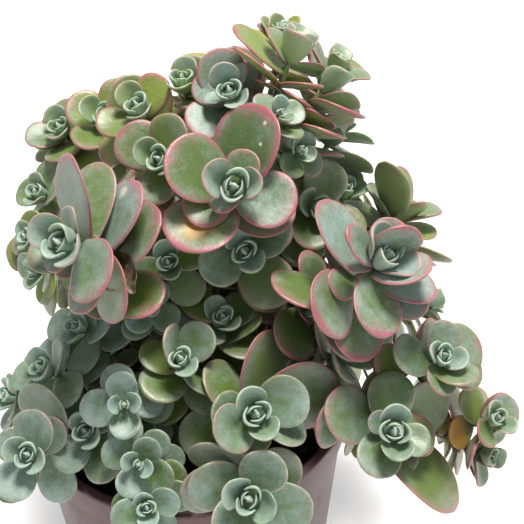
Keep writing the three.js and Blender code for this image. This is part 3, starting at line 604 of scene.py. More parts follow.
def turned_blade(shoot, distance, around, opening, roll, size, ratio, arch, cup, pair):
    """A leaf on the stem, turned round it, opened from it and rolled about its own length."""
    point, axis = shoot.along(distance)
    right, up = shoot.sides(axis)
    phi, theta, rolled = math.radians(around), math.radians(opening), math.radians(roll)
    outward = add(scale(right, math.cos(phi)), scale(up, math.sin(phi)))
    along = add(scale(axis, math.cos(theta)), scale(outward, math.sin(theta)))
    flat_out = sub(scale(axis, math.sin(theta)), scale(outward, math.cos(theta)))
    flat_across = cross(flat_out, along)
    across = add(scale(flat_across, math.cos(rolled)), scale(flat_out, math.sin(rolled)))
    out = sub(scale(flat_out, math.cos(rolled)), scale(flat_across, math.sin(rolled)))
    return Blade(shoot.index, point, along, across, out, size, ratio, arch, cup, pair)


def blade_for(shoot, pair, side, draws, attempt):
    chosen = shoot.set_blade(pair, side)
    drop = chosen[6] if chosen and len(chosen) > 6 else 0
    down = PAIR_DOWN[pair] * shoot.stretch() + drop
    if down > shoot.from_tip[-1] - LOWEST_BLADE_ABOVE_SOIL:
        return None
    if shoot.size * PAIR_SHARE[pair] < LEAST_LENGTH:
        return None
    around = chosen[2] if chosen else shoot.twist + 90 * pair + 180 * side + draws[0] * SPREAD["around"]
    opening = chosen[3] if chosen else PAIR_OPEN[pair] + draws[2] * SPREAD["open"]
    size = chosen[4] if chosen else shoot.size * PAIR_SHARE[pair] * (1 + SPREAD["size"] * draws[1])
    roll = chosen[5] if chosen else draws[3] * SPREAD["roll"]
    blade = turned_blade(
        shoot, down, around + attempt[1], opening + attempt[0], roll, size * attempt[2],
        shoot.special.get("ratio", BLADE_RATIO),
        PAIR_ARCH[min(pair, len(PAIR_ARCH) - 1)] + SPREAD["arch"] * draws[4],
        PAIR_CUP[min(pair, len(PAIR_CUP) - 1)],
        pair,
    )
    blade.side = side
    blade.distance = down
    return blade


def has_room(blade, others, stem_points):
    if not clear_of_pot(blade) or any(blades_meet(blade, other) for other in others):
        return False
    return clear_of_stems(blade, stem_points)


def first_with_room(shoot, pair, side, draws, others, stem_points):
    """The leaf in the first of its tries that has room, or None."""
    for attempt in TRIES:
        blade = blade_for(shoot, pair, side, draws, attempt)
        if blade is None:
            return None
        if has_room(blade, others, stem_points):
            return blade
    return None


def grow_blades(shoots):
    """Grows every leaf, the set ones first, each where it finds free room."""
    draw = make_draw(SEED)
    draws = [[[[draw() for _ in range(5)] for _ in range(2)] for _ in PAIR_DOWN] for _ in shoots]
    stem_points = []
    for shoot in shoots:
        for p in shoot.path:
            stem_points.append((shoot.index, p, STEM_RADIUS, False))
        bud = add(shoot.tip, scale(shoot.axis, BUD_MIDDLE))
        stem_points.append((shoot.index, bud, shoot.size * BUD_ROOM, True))
    blades = []
    rounds = [(chosen, pair) for chosen in (True, False) for pair in range(len(PAIR_DOWN))]
    for chosen, pair in rounds:
        for shoot in shoots:
            if pair >= shoot.pairs:
                continue
            for side in range(2):
                if (shoot.set_blade(pair, side) is not None) != chosen:
                    continue
                own_draws = draws[shoot.index][pair][side]
                blade = first_with_room(shoot, pair, side, own_draws, blades, stem_points)
                if blade:
                    blades.append(blade)
                    shoot.blades.append(blade)
    return blades, stem_points


# Short leaves down the older stems: where they start and how far apart, how many are tried at each
# place, the lengths that are tried, and how they open, roll, arch and cup

FILL_SEED = 23
FILL_FROM = 11.0
FILL_STEP = 5.5
FILL_TURNS = 3
FILL_LENGTHS = [18.0, 14.0, 11.0, 8.5]
FILL_OPENING = 76.0
FILL_OPENING_SPREAD = 22
FILL_ROLL_SPREAD = 25
FILL_ARCH = 0.02
FILL_CUP = 0.1
FILL_PAIR = 7


def grow_fill(shoots, blades, stem_points):
    """Small extra leaves where old stems would show bare, each only where it finds free room."""
    draw = make_draw(FILL_SEED)
    grown = list(blades)
    for shoot in shoots:
        down = FILL_FROM * shoot.stretch()
        while down < shoot.from_tip[-1] - LOWEST_BLADE_ABOVE_SOIL - FILL_STEP:
            for _ in range(FILL_TURNS):
                around = 180 * draw()
                opening = FILL_OPENING + FILL_OPENING_SPREAD * draw()
                roll = FILL_ROLL_SPREAD * draw()
                for size in FILL_LENGTHS:
                    blade = turned_blade(
                        shoot, down, around, opening, roll, size, BLADE_RATIO, FILL_ARCH, FILL_CUP, FILL_PAIR
                    )
                    if has_room(blade, grown, stem_points):
                        grown.append(blade)
                        shoot.fill.append(blade)
                        break
            down += FILL_STEP


# The marks that a leaf may carry; 0 is none

DRY, BLOTCH, DOTS, NIBBLE, SCAR, YELLOWED = 1, 2, 3, 4, 5, 6
UNPLACED = (0.5, 0.5)

# Single leaves that the growth doesn't give, listed one by one: distance below the tip, turn round the stem,
# opening and length, then where they differ from the plain ones the ratio, the arch and the mark.

EXTRA_PAIR = 4
EXTRA_RATIO = 0.8
EXTRA_CUP = 0.12
EXTRAS = {
    "right_main": [
        (5, 130, 60, 20, 0.6), (9, -80, 35, 22, 0.8, 0.05), (12, -70, 75, 24, 0.85),
        (7, -130, 90, 25, 0.7, 0.05), (8, 50, 15, 22, 0.75, 0.05),
    ],
    "right_back": [
        (8, 70, 35, 36, 0.42, -0.05), (10, 130, 35, 20, 0.5), (20, 140, 65, 33, 0.5),
        (14, -70, 45, 34, 0.4),
    ],
    "top_far": [
        (6, 30, 45, 13), (6, -110, 25, 13), (10, 10, 20, 16), (14, -120, 40, 18, 0.7), (12, 10, 65, 18),
    ],
    "crown_upper": [(16, 120, 45, 22), (22, 90, 40, 26)],
    "top_mid": [(12, 90, 35, 18)],
    "top_left": [(14, 150, 35, 22), (18, 100, 35, 24, 0.7, 0.05)],
    "top_back": [(8, -50, 65, 20, 0.7)],
    "left_main": [(14, 110, 95, 30, 0.6), (24, -20, 85, 24, 0.55, 0.25, DRY)],
    "right_bud": [
        (3, 20, 120, 7, 0.6, 0.4, DRY), (4, 50, 120, 6, 0.6, 0.5, DRY), (4, 150, 55, 6, 0.6, 0.5, DRY),
        (12, 20, 60, 20, 0.95), (8, -70, 35, 17), (16, 50, 90, 16),
    ],
    "left_low": [(9, -140, 55, 9, 0.16, 0.1, DRY)],
    "gap_a": [(12, -10, 95, 22, 0.55)],
    "gap_b": [(14, -40, 40, 22, 0.6)],
    "gap_e": [(16, -50, 90, 24, 0.5)],
    "right_gap": [(16, 10, 75, 24)],
    "crown_low": [(12, 0, 100, 18, 0.7)],
    "side_a": [(10, -90, 35, 16, 0.7)],
    "side_left_a": [(8, 100, 40, 14)],
    "far_left_a": [(10, -140, 55, 16), (12, 150, 25, 16)],
    "right_far_a": [(9, 40, 50, 14, 0.85), (12, 30, 95, 15, 0.85), (16, -60, 110, 15, 0.85)],
    "right_far_b": [(9, -100, 10, 12, 0.85), (10, -120, 50, 13, 0.85), (14, -100, 65, 15, 0.85)],
    "right_low": [(18, -60, 45, 20)],
}


def extra_blade(shoot, distance, around, opening, size, ratio=EXTRA_RATIO, arch=0, mark=0):
    blade = turned_blade(shoot, distance, around, opening, 0, size, ratio, arch, EXTRA_CUP, EXTRA_PAIR)
    blade.mark = mark
    return blade


def place_extras(shoots):
    for shoot in shoots:
        shoot.extras = [extra_blade(shoot, *leaf) for leaf in EXTRAS.get(shoot.name, [])]


def grow_plant():
    """All the shoots with their leaves; the fill keeps clear of the leaves that are listed one by one."""
    roots = place_roots(SHOOTS)
    shoots = [Shoot(row, roots[i], i) for i, row in enumerate(SHOOTS)]
    blades, stem_points = grow_blades(shoots)
    place_extras(shoots)
    extras = [blade for shoot in shoots for blade in shoot.extras]
    grow_fill(shoots, blades + extras, stem_points)
    return shoots


# Modelling by hand, in edit mode


def deselect_all():
    if bpy.context.object and bpy.context.object.mode != "OBJECT":
        bpy.ops.object.mode_set(mode="OBJECT")
    bpy.ops.object.select_all(action="DESELECT")


def select_only(piece):
    deselect_all()
    piece.select_set(True)
    bpy.context.view_layer.objects.active = piece


def select_vertices(test):
    """Selects the vertices of the mesh in edit mode whose place passes the test."""
    bpy.ops.mesh.select_mode(type="VERT")
    mesh = bmesh.from_edit_mesh(bpy.context.object.data)
    for vertex in mesh.verts:
        vertex.select = bool(test(vertex.co))
    mesh.select_flush_mode()
    bmesh.update_edit_mesh(bpy.context.object.data)


def finish_piece(piece, name, node_slot, *nodes):
    """Names a finished piece, lets it ride on the body and stand for its CAD nodes."""
    piece.name = name
    piece.data.name = name
    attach(piece, "root")
    if nodes:
        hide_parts(*nodes)
    return piece


# The unit leaf and the unit stem, each modelled once and copied to its places


class LeafShape:
    """Half widths of a unit leaf at stations along it, and its number of cells across."""

    def __init__(self, stations, half_widths, across):
        self.stations = stations
        self.half_widths = half_widths
        self.across = across

    def half_at(self, x):
        return np.interp(x, self.stations, self.half_widths)


FINE_LEAF = LeafShape(
    [0.0, 0.14, 0.31, 0.5, 0.68, 0.83, 0.935, 1.0], [0.3, 0.56, 0.87, 1.04, 1.06, 0.92, 0.67, 0.45], 4
)
PLAIN_LEAF = LeafShape([0.0, 0.26, 0.56, 0.84, 1.0], [0.34, 0.84, 1.12, 0.94, 0.56], 2)
END_FROM = 0.99
END_CORNER_FROM = 0.3
END_DRAWN_OUT = 0.025
END_CORNERS_BACK = 0.028
RIM_FROM = 0.8
RIM_END_FROM = 0.96
RIM_SHARE = 0.5
NEXT_TO_RIM_FROM = 0.3
NEXT_TO_RIM_SHARE = 0.88
CLEAR_OF_GRID = 10
SAME_PLACE = 0.01


def model_leaf(shape):
    """A unit leaf: x along it from 0 to 1, y across it in half widths, z through it from -1 to 1."""
    deselect_all()
    cells = len(shape.stations) - 1
    bpy.ops.mesh.primitive_grid_add(x_subdivisions=cells, y_subdivisions=shape.across, size=2)
    leaf = bpy.context.object
    bpy.ops.object.mode_set(mode="EDIT")
    for i, (station, half) in enumerate(zip(shape.stations, shape.half_widths)):
        column = -1 + 2 * i / cells
        select_vertices(lambda co: abs(co.x - column) < SAME_PLACE)
        bpy.ops.transform.resize(value=(1, half, 1), center_override=(column, 0, 0))
        bpy.ops.transform.translate(value=(CLEAR_OF_GRID + station - column, 0, 0))
    bpy.ops.mesh.select_all(action="SELECT")
    bpy.ops.transform.translate(value=(-CLEAR_OF_GRID, 0, 1))
    # The end's middle is drawn out a little and its corners are pulled back to round it.
    select_vertices(lambda co: co.x > END_FROM and abs(co.y) < END_CORNER_FROM)
    bpy.ops.transform.translate(value=(END_DRAWN_OUT, 0, 0))
    select_vertices(lambda co: co.x > END_FROM and abs(co.y) > END_CORNER_FROM)
    bpy.ops.transform.translate(value=(-END_CORNERS_BACK, 0, 0))
    bpy.ops.mesh.select_all(action="SELECT")
    bpy.ops.mesh.extrude_region_move(TRANSFORM_OT_translate={"value": (0, 0, -2)})
    bpy.ops.mesh.select_all(action="SELECT")
    bpy.ops.mesh.normals_make_consistent(inside=False)
    # The rim is thinner than the middle.
    select_vertices(lambda co: abs(co.y) > shape.half_at(co.x) * RIM_FROM or co.x > RIM_END_FROM)
    bpy.ops.transform.resize(value=(1, 1, RIM_SHARE), center_override=(0, 0, 0))
    select_vertices(
        lambda co: NEXT_TO_RIM_FROM < abs(co.y) / shape.half_at(co.x) < RIM_FROM and co.x < RIM_END_FROM
    )
    bpy.ops.transform.resize(value=(1, 1, NEXT_TO_RIM_SHARE), center_override=(0, 0, 0))
    bpy.ops.object.mode_set(mode="OBJECT")
    leaf.name = "unit_leaf"
    points, faces = mesh_arrays(leaf)
    return points, faces, leaf_place(points, shape)


STEM_SIDES = 6
STEM_RINGS = 24


def model_stem():
    """A unit stem: a round rod along z from 0 to 1 with rings of edges to bend by."""
    deselect_all()
    bpy.ops.mesh.primitive_cylinder_add(vertices=STEM_SIDES, radius=1, depth=1, end_fill_type="NGON")
    stem = bpy.context.object
    bpy.ops.object.mode_set(mode="EDIT")
    bpy.ops.mesh.select_all(action="SELECT")
    bpy.ops.transform.translate(value=(0, 0, 0.5))
    for i in range(1, STEM_RINGS):
        bpy.ops.mesh.select_all(action="SELECT")
        bpy.ops.mesh.bisect(plane_co=(0, 0, i / STEM_RINGS), plane_no=(0, 0, 1))
    bpy.ops.object.mode_set(mode="OBJECT")
    stem.name = "unit_stem"
    return stem


def mesh_arrays(piece):
    """A modelled piece's vertices and faces as plain lists, for copying."""
    points = np.array([v.co for v in piece.data.vertices], float)
    faces = [tuple(f.vertices) for f in piece.data.polygons]
    bpy.data.meshes.remove(piece.data)
    return points, faces


class Assembly:
    """Copies of modelled shapes, gathered into one mesh with their colouring as attributes."""

    def __init__(self):
        self.points = []
        self.faces = []
        self.layers = {"leaf_place": [], "leaf_look": [], "leaf_kind": [], "leaf_mark": []}
        self.count = 0

    def add(self, points, faces, place, look, kind, mark):
        """place is (edge, under, along, across) for each point; the rest is the same all over."""
        self.points.append(points)
        self.faces.extend(tuple(i + self.count for i in face) for face in faces)
        for layer, values in zip(self.layers.values(), (place, look, kind, mark)):
            layer.append(np.broadcast_to(np.array(values, np.float32), (len(points), 4)))
        self.count += len(points)

    def piece(self, name, levels):
        mesh = bpy.data.meshes.new(name)
        points = np.concatenate(self.points) * MM
        mesh.from_pydata(points.tolist(), [], self.faces)
        for label, values in self.layers.items():
            layer = mesh.attributes.new(label, "FLOAT_COLOR", "POINT")
            layer.data.foreach_set("color", np.concatenate(values).ravel())
        mesh.polygons.foreach_set("use_smooth", np.ones(len(self.faces), bool))
        mesh.update()
        piece = bpy.data.objects.new(name, mesh)
        bpy.context.collection.objects.link(piece)
        if levels:
            smooth = piece.modifiers.new("rounding", "SUBSURF")
            smooth.levels = levels
            smooth.render_levels = levels
        return piece


# Leaves on a shoot. How uneven real leaves are: the sway of the midrib, the ripple of the rim and the
# hollow along the middle, as shares of a leaf's length or half width

SWAY = 0.05
RIPPLE = 0.018
RIPPLE_RATE = 7
RIPPLE_OTHER_SIDE = 1.3
RIPPLE_START = 3
HOLLOW = 0.035
HOLLOW_REACH = 0.3

# The folds of a withered leaf: how fast they run along, across and aslant, and where they start

LONG_FOLDS = (9, 4, 6)
CROSS_FOLDS = (7, 12)
CROSS_FOLDS_SHARE = 0.7

# A leaf's colours count its point as rim from here on, over this much of its length

TIP_IS_RIM_FROM = 0.5
TIP_IS_RIM_OVER = 0.46

BOX_SLACK = 0.35


def leaf_copy(form, blade, thickness, draws, clasp=0.0):
    """The unit leaf laid over a blade's middle surface, a little uneven as each real leaf is.

    A young leaf clasps what is inside it: its width is wrapped round by clasp radians to each side.
    """
    u, y, z = form.T
    sway, wave, phase, dent = draws
    v = y + SWAY * sway * u * u
    ripples = np.sin(phase * RIPPLE_START + u * RIPPLE_RATE + np.sign(y) * RIPPLE_OTHER_SIDE)
    wavy = RIPPLE * blade.length * wave * ripples * y * y
    hollow = np.exp(-((y / HOLLOW_REACH) ** 2)) * np.sin(np.pi * np.clip(u, 0, 1))
    dip = -HOLLOW * blade.half * (1 + dent) * hollow
    folds = np.sin(LONG_FOLDS[0] * u + LONG_FOLDS[1] * v + LONG_FOLDS[2] * phase)
    folds = folds + CROSS_FOLDS_SHARE * np.sin(CROSS_FOLDS[0] * v - CROSS_FOLDS[1] * u)
    wrap = v * clasp
    shrink = np.sin(wrap) / clasp if clasp else v
    clasped = (1 - np.cos(wrap)) / clasp if clasp else 0 * v
    lift = blade.crumple * blade.length * folds + blade.length * blade.arch * u * u
    lift = lift + blade.half * (blade.cup * v * v + clasped) + wavy + dip
    tilt = z * thickness * np.sin(wrap)
    along = np.outer(u * blade.length, blade.along)
    across = np.outer(shrink * blade.half - tilt, blade.across)
    out = np.outer(lift + z * thickness * np.cos(wrap), blade.out)
    return inside_box(np.array(blade.base) + along + across + out)


def inside_box(points):
    """Moves a leaf inwards where it would reach outside the solids' own box."""
    low, high = (np.array(corner) / MM for corner in cad_box)
    under = np.maximum(low + BOX_SLACK - points.min(0), 0)
    over = np.maximum(points.max(0) - high + BOX_SLACK, 0)
    return points + under - over


def leaf_place(points, shape):
    """For each point of the unit leaf: nearness to the rim, underside, place along, place across."""
    x, y, z = points.T
    aside = np.abs(y) / shape.half_at(x)
    ahead = np.clip((x - TIP_IS_RIM_FROM) / TIP_IS_RIM_OVER, 0, 1)
    edge = np.clip(np.maximum(aside, ahead), 0, 1)
    under = np.where(z < 0, 1.0, 0.0)
    return np.stack([edge, under, x, y * 0.5 + 0.5], 1)


# The bud's closed leaves, for a full-size head: distance of their feet below the tip and out from the
# stem's middle, opening, length, half width, inward arch and half thickness

BUD_LEAVES = [
    (1.7, 3.1, 9, 5.8, 3.7, 0.26, 0.55),
    (1.2, 1.6, 6, 5.6, 2.5, 0.34, 0.65),
]
BUD_OPENING = 80
BUD_TURN_SPREAD = 5
BUD_CLASP = 0.96

# The youngest full leaves stand round the bud: foot out from the stem's middle, opening, half width
# for each length, inward arch, clasp in radians to each side

YOUNG_LEAVES = [
    (3.6, 18, 0.6, 0.12, 1.1),
    (1.8, 46, 0.5, 0.16, 0.75),
    (0.6, None, 0.46, 0.05, 0.3),
]


def standing_leaf(blade, axis, out_by, opening, half, arch):
    """The same leaf with its foot moved out from the stem's middle and opened by another angle."""
    outward = unit(sub(blade.along, scale(axis, dot(blade.along, axis))))
    blade.base = add(blade.base, scale(outward, out_by))
    blade.half = half
    blade.arch = arch
    if opening is not None:
        theta = math.radians(opening)
        blade.along = add(scale(axis, math.cos(theta)), scale(outward, math.sin(theta)))
        blade.out = sub(scale(axis, math.sin(theta)), scale(outward, math.cos(theta)))
        blade.across = cross(blade.out, blade.along)


AGE_FROM = 0.5
AGE_PAIRS = 6
YOUNG_PAIRS = 2.5


def shoot_look(shoot, blade, draws):
    """Rosy margin, light through, bloom and cream rim of one leaf, from its shoot and its age."""
    if (shoot.name, blade.pair, blade.side) in LEAF_LOOKS:
        return LEAF_LOOKS[shoot.name, blade.pair, blade.side]
    # The bloom amount also paints light and shade: more on lit heads, less on shaded ones.
    red, lime, bloom, pale_rim_and_highlight = LOOKS.get(shoot.name, PLAIN_LOOK)
    # Age takes bloom off and adds yellow-green: partly real ageing, partly painted shade on the older, lower
    # leaves.
    age = min(1.0, max(0.0, (blade.pair - AGE_FROM) / AGE_PAIRS))
    young = max(0.0, 1 - max(0, blade.pair) / YOUNG_PAIRS)
    red = red * (1 - 0.6 * young) * (1 + 0.4 * draws[0])
    lime = lime * (0.35 + 0.9 * age) * (1 + 0.8 * draws[1]) + 0.12 * age
    bloom = bloom * (1 - 0.65 * age) + 0.25 * young + 0.22 * draws[2]
    pale_rim_and_highlight = pale_rim_and_highlight * (1 + 0.4 * draws[3])
    return tuple(min(1.0, max(0.0, value)) for value in (red, lime, bloom, pale_rim_and_highlight))


STEM_TIP_SHARE = 0.72
STEM_SWELL_DOWN = 0.28
STEM_FULL_BELOW = 25
JOINT_SWELL = 0.16
NO_JOINT = 9
TIP_NEAREST = 0.01


def stem_points_of(unit, shoot):
    """The unit stem bent along a shoot's path, thinner towards its tip, with a joint at each leaf pair."""
    whole = shoot.from_tip[-1]
    joints = sorted({round(blade.distance, 2) for blade in shoot.blades})
    out = np.empty_like(unit)
    for i, (x, y, z) in enumerate(unit):
        down = (1 - z) * (whole + STEM_BURIED)
        if down > whole:
            middle = np.array(shoot.path[0]) - np.array((0, 0, down - whole))
            axis = (0.0, 0.0, 1.0)
        else:
            middle, axis = shoot.along(max(down, TIP_NEAREST))
            middle = np.array(middle)
        right, up = shoot.sides(axis)
        near = min((abs(down - joint) for joint in joints), default=NO_JOINT)
        taper = STEM_TIP_SHARE + STEM_SWELL_DOWN * min(1, down / STEM_FULL_BELOW)
        radius = STEM_RADIUS * taper * (1 + JOINT_SWELL * math.exp(-near * near))
        out[i] = middle + (np.array(right) * x + np.array(up) * y) * radius
    return out


STEM_KIND = (1.0, 0.0, 0.0, 1.0)
STEM_LOOK = (0.3, 0.2, 0.3, 0.0)
STEM_GREENS_OVER = 40
DRY_ARCH = 0.3
DRY_CUP = 0.5
DRY_CRUMPLE = 0.09
DRY_THICKNESS = 0.35
OLDEST_PAIR = 8

# How much of the pale colour of new growth the bud and the youngest pairs have

BUD = -1
YOUTH = {BUD: 1.0, 0: 0.6, 1: 0.3}

# Single leaves whose colouring is given one by one

# Bloom and lime here partly paint light: more bloom on lit leaves, less on shaded, lime on backlit ones.
LEAF_LOOKS = {
    ("crown_front", 4, 0): (1.0, 0.05, 0.05, 0.2),
    ("crown_front", 4, 1): (1.0, 0.2, 0.35, 0.3),
    ("crown_front", 3, 0): (1.0, 0.0, 0.42, 0.4),
    ("crown_front", 3, 1): (0.9, 0.15, 0.2, 0.2),
    ("crown_front", 2, 1): (1.0, 0.0, 0.9, 0.4),
    ("crown_upper", 4, 0): (1.0, 0.1, 0.75, 0.4),
    ("top_left", 2, 1): (0.95, 0.85, 0.05, 0.2),
    ("top_left", 4, 0): (0.95, 0.85, 0.05, 0.2),
    ("top_mid", 3, 1): (0.5, 0.95, 0.05, 0.1),
    ("right_main", 4, 1): (0.95, 0.0, 1.0, 0.5),
    ("right_main", 1, 1): (0.95, 0.0, 1.0, 0.5),
    ("left_main", 5, 0): (0.8, 0.1, 0.75, 0.4),
}

# Marks on single leaves, by shoot, pair and side: which mark, and its place along and across the leaf
MARKS = {
    ("crown_front", 4, 1): (BLOTCH, 0.64, 0.5),
    ("crown_front", 4, 0): (DOTS, 0.86, 0.33),
    ("left_main", 5, 0): (SCAR, 0.81, 0.72),
    ("right_low", 3, 0): (NIBBLE, 0.8, 0.2),
    ("right_far_a", 4, 1): (YELLOWED, 0.9, 0.5),
    ("gap_e", 4, 1): (DRY, 0.5, 0.5),
}


# Stems that hardly show from the front, built from the plain leaf only

HIDDEN = ("back_", "top_back", "side_a")
UNMARKED = (0, *UNPLACED)
DRAWS_FOR_LEAF = 8


def add_stem(parts, shoot, form):
    """The shoot's stem, woody at the soil and greener above it."""
    points, faces = form
    stem = stem_points_of(points, shoot)
    green = np.clip((stem[:, 2] - SOIL_HEIGHT) / STEM_GREENS_OVER, 0, 1)
    nothing = np.zeros(len(stem))
    place = np.stack([nothing, nothing, 1 - green, nothing + 0.5], 1)
    parts.add(stem, faces, place, STEM_LOOK, STEM_KIND, (*UNMARKED, 0))


def add_leaf(parts, shoot, form, blade, thickness, draws, clasp=0.0, unevenness=1, mark=UNMARKED):
    points, faces, place = form
    laid = leaf_copy(points, blade, thickness, [d * unevenness for d in draws[:4]], clasp)
    look = shoot_look(shoot, blade, draws[4:])
    age = min(1.0, max(0, blade.pair) / OLDEST_PAIR)
    kind = (0.0, draws[0] * 0.5 + 0.5, draws[5] * 0.5 + 0.5, age)
    parts.add(laid, faces, place, look, kind, (*mark, YOUTH.get(blade.pair, 0.0)))


def leaf_thickness(blade):
    return min(BLADE_HALF_THICKNESS, THIN_BASE + THIN_SLOPE * blade.length)


def add_open_leaf(parts, shoot, form, blade, draws):
    """One leaf of a pair; the youngest stand close round the bud and clasp it."""
    thickness = leaf_thickness(blade)
    clasp = 0.0
    if blade.pair < len(YOUNG_LEAVES):
        out_by, opening, half_share, arch, clasp = YOUNG_LEAVES[blade.pair]
        _, axis = shoot.along(blade.distance)
        out_by = out_by * (shoot.size / FULL_SIZE)
        standing_leaf(blade, axis, out_by, opening, half_share * blade.length, arch)
    mark = MARKS.get((shoot.name, blade.pair, blade.side), (blade.mark, *UNPLACED))
    if mark[0] == DRY:
        blade.arch, blade.cup, blade.crumple = DRY_ARCH, DRY_CUP, DRY_CRUMPLE
        thickness = DRY_THICKNESS
    add_leaf(parts, shoot, form, blade, thickness, draws, clasp, mark=mark)


def add_bud_leaf(parts, shoot, form, n, side, draws):
    """One of the small closed leaves in the middle of the head, smooth and even."""
    down, out_by, opening, size, half, arch, thickness = BUD_LEAVES[n]
    small = shoot.size / FULL_SIZE
    around = shoot.twist + 90 * (n + 1) + 180 * side + BUD_TURN_SPREAD * draws[0]
    blade = turned_blade(
        shoot, down * small, around, BUD_OPENING, 0, size * small, BLADE_RATIO, 0, 0, BUD
    )
    blade.side = side
    _, axis = shoot.along(down * small)
    standing_leaf(blade, axis, out_by * small, opening, half * small, arch)
    clasp = half / out_by * BUD_CLASP
    add_leaf(parts, shoot, form, blade, thickness * small, draws, clasp, unevenness=0)


def assemble_shoot(shoot, forms, draw, levels):
    """One leafy stem: its bent stem, its leaves, the fill and the small closed leaves of its bud."""

    def draws():
        return [draw() for _ in range(DRAWS_FOR_LEAF)]

    parts = Assembly()
    add_stem(parts, shoot, forms["stem"])
    plain = forms["plain_leaf"]
    main = plain if shoot.name.startswith(HIDDEN) else forms["fine_leaf"]
    for blade in (*shoot.blades, *shoot.extras):
        add_open_leaf(parts, shoot, main, blade, draws())
    for blade in shoot.fill:
        add_leaf(parts, shoot, plain, blade, leaf_thickness(blade), draws())
    for n in range(len(BUD_LEAVES)):
        for side in range(2):
            add_bud_leaf(parts, shoot, plain, n, side, draws())
    return parts.piece("leafy_" + shoot.name, levels)


# Pot and soil


def turn_profile(rings, sides):
    """A round shell drawn up ring by ring: each ring is (radius, height), from its first to its last."""
    deselect_all()
    radius, height = rings[0]
    bpy.ops.mesh.primitive_circle_add(
        vertices=sides, radius=radius * MM, location=(0, 0, height * MM), fill_type="NOTHING"
    )
    shell = bpy.context.object
    bpy.ops.object.transform_apply(location=True, rotation=True, scale=True)
    bpy.ops.object.mode_set(mode="EDIT")
    bpy.ops.mesh.select_all(action="SELECT")
    for next_radius, next_height in rings[1:]:
        bpy.ops.mesh.extrude_region_move(
            TRANSFORM_OT_translate={"value": (0, 0, (next_height - height) * MM)}
        )
        share = next_radius / radius
        bpy.ops.transform.resize(value=(share, share, 1), center_override=(0, 0, next_height * MM))
        radius, height = next_radius, next_height
    bpy.ops.object.mode_set(mode="OBJECT")
    return shell


SAME_HEIGHT = 1e-5


def close_ring(piece, height, largest):
    """Fills the open ring of edges at a height, inside a radius, with one face."""
    select_only(piece)
    bpy.ops.object.mode_set(mode="EDIT")
    select_vertices(lambda co: abs(co.z - height * MM) < SAME_HEIGHT and co.xy.length < largest * MM)
    bpy.ops.mesh.edge_face_add()
    bpy.ops.mesh.select_all(action="SELECT")
    bpy.ops.mesh.normals_make_consistent(inside=False)
    bpy.ops.object.mode_set(mode="OBJECT")


POT_SIDES = 96
SMOOTH_BELOW = 32
FLOOR_DISC_RADIUS = 8.0
FLOOR_DISC_WITHIN = 9.0
DRAIN_SIDES = 24


def model_pot():
    """The pot's wall, rim band and floor as one turned shell, with its drain holes cut through."""
    inner = POT_NECK_RADIUS - POT_WALL
    band = POT_HEIGHT - RIM_BAND_HEIGHT
    rings = [
        (FLOOR_DISC_RADIUS, 0.0),
        (POT_FOOT_RADIUS - 7.0, 0.0),
        (POT_FOOT_RADIUS - 5.6, 1.2),
        (POT_FOOT_RADIUS - 3.6, 1.2),
        (POT_FOOT_RADIUS - 2.6, 0.0),
        (POT_FOOT_RADIUS - 1.0, 0.0),
        (POT_FOOT_RADIUS - 0.25, 0.3),
        (POT_FOOT_RADIUS, 1.2),
        (POT_NECK_RADIUS - 0.25, band - 4.6),
        (POT_NECK_RADIUS - 0.25, band - 0.6),
        (POT_NECK_RADIUS + 0.2, band - 0.1),
        (POT_RIM_RADIUS - 0.9, band),
        (POT_RIM_RADIUS - 0.3, band + 0.4),
        (POT_RIM_RADIUS - 0.15, band + 1.2),
        (POT_RIM_RADIUS - 0.6, POT_HEIGHT - 2.4),
        (POT_RIM_RADIUS - 0.05, POT_HEIGHT - 1.6),
        (POT_RIM_RADIUS - 0.05, POT_HEIGHT - 0.8),
        (POT_RIM_RADIUS - 0.4, POT_HEIGHT - 0.15),
        (POT_RIM_RADIUS - 1.2, POT_HEIGHT),
        (inner + 0.8, POT_HEIGHT),
        (inner + 0.1, POT_HEIGHT - 0.5),
        (inner - 0.1, POT_HEIGHT - 1.4),
        (inner - 1.0, POT_HEIGHT - 26.0),
        (POT_FOOT_RADIUS - POT_WALL - 0.1, POT_FLOOR + 2.0),
        (POT_FOOT_RADIUS - POT_WALL - 2.2, POT_FLOOR),
        (FLOOR_DISC_RADIUS, POT_FLOOR),
    ]
    pot = turn_profile(rings, POT_SIDES)
    close_ring(pot, 0.0, FLOOR_DISC_WITHIN)
    close_ring(pot, POT_FLOOR, FLOOR_DISC_WITHIN)
    for i in range(DRAIN_HOLES):
        turn = 2 * math.pi * i / DRAIN_HOLES
        deselect_all()
        bpy.ops.mesh.primitive_cylinder_add(
            vertices=DRAIN_SIDES,
            radius=DRAIN_RADIUS * MM,
            depth=POT_FLOOR * 4 * MM,
            location=(
                DRAIN_CIRCLE_RADIUS * math.cos(turn) * MM,
                DRAIN_CIRCLE_RADIUS * math.sin(turn) * MM,
                POT_FLOOR / 2 * MM,
            ),
        )
        drill = bpy.context.object
        select_only(pot)
        hole = pot.modifiers.new("drain", "BOOLEAN")
        hole.operation = "DIFFERENCE"
        hole.object = drill
        bpy.ops.object.modifier_apply(modifier=hole.name)
        bpy.data.objects.remove(drill)
    select_only(pot)
    bpy.ops.object.shade_smooth_by_angle(angle=math.radians(SMOOTH_BELOW))
    return pot


SOIL_RINGS = 26
SOIL_SIDES = 96
SOIL_ROUGHNESS = 1.5
SOIL_EDGE_BELOW = 3.2
SOIL_EDGE_RISE = 1.6
SOIL_EDGE_RISE_OVER = 0.25
SOIL_GAP = 0.4
SOIL_FOOT_GAP = 0.5
SOIL_WALL_GAP = 0.2
SOIL_FOOT_CHAMFER = 2.0
SOIL_MIDDLE = 0.015
SOIL_LUMPS = (("soil_lumps", 0.011, SOIL_ROUGHNESS * 1.6), ("soil_grains", 0.0035, SOIL_ROUGHNESS))
SOIL_LEVEL = 0.7
SOIL_SMOOTH_BELOW = 40


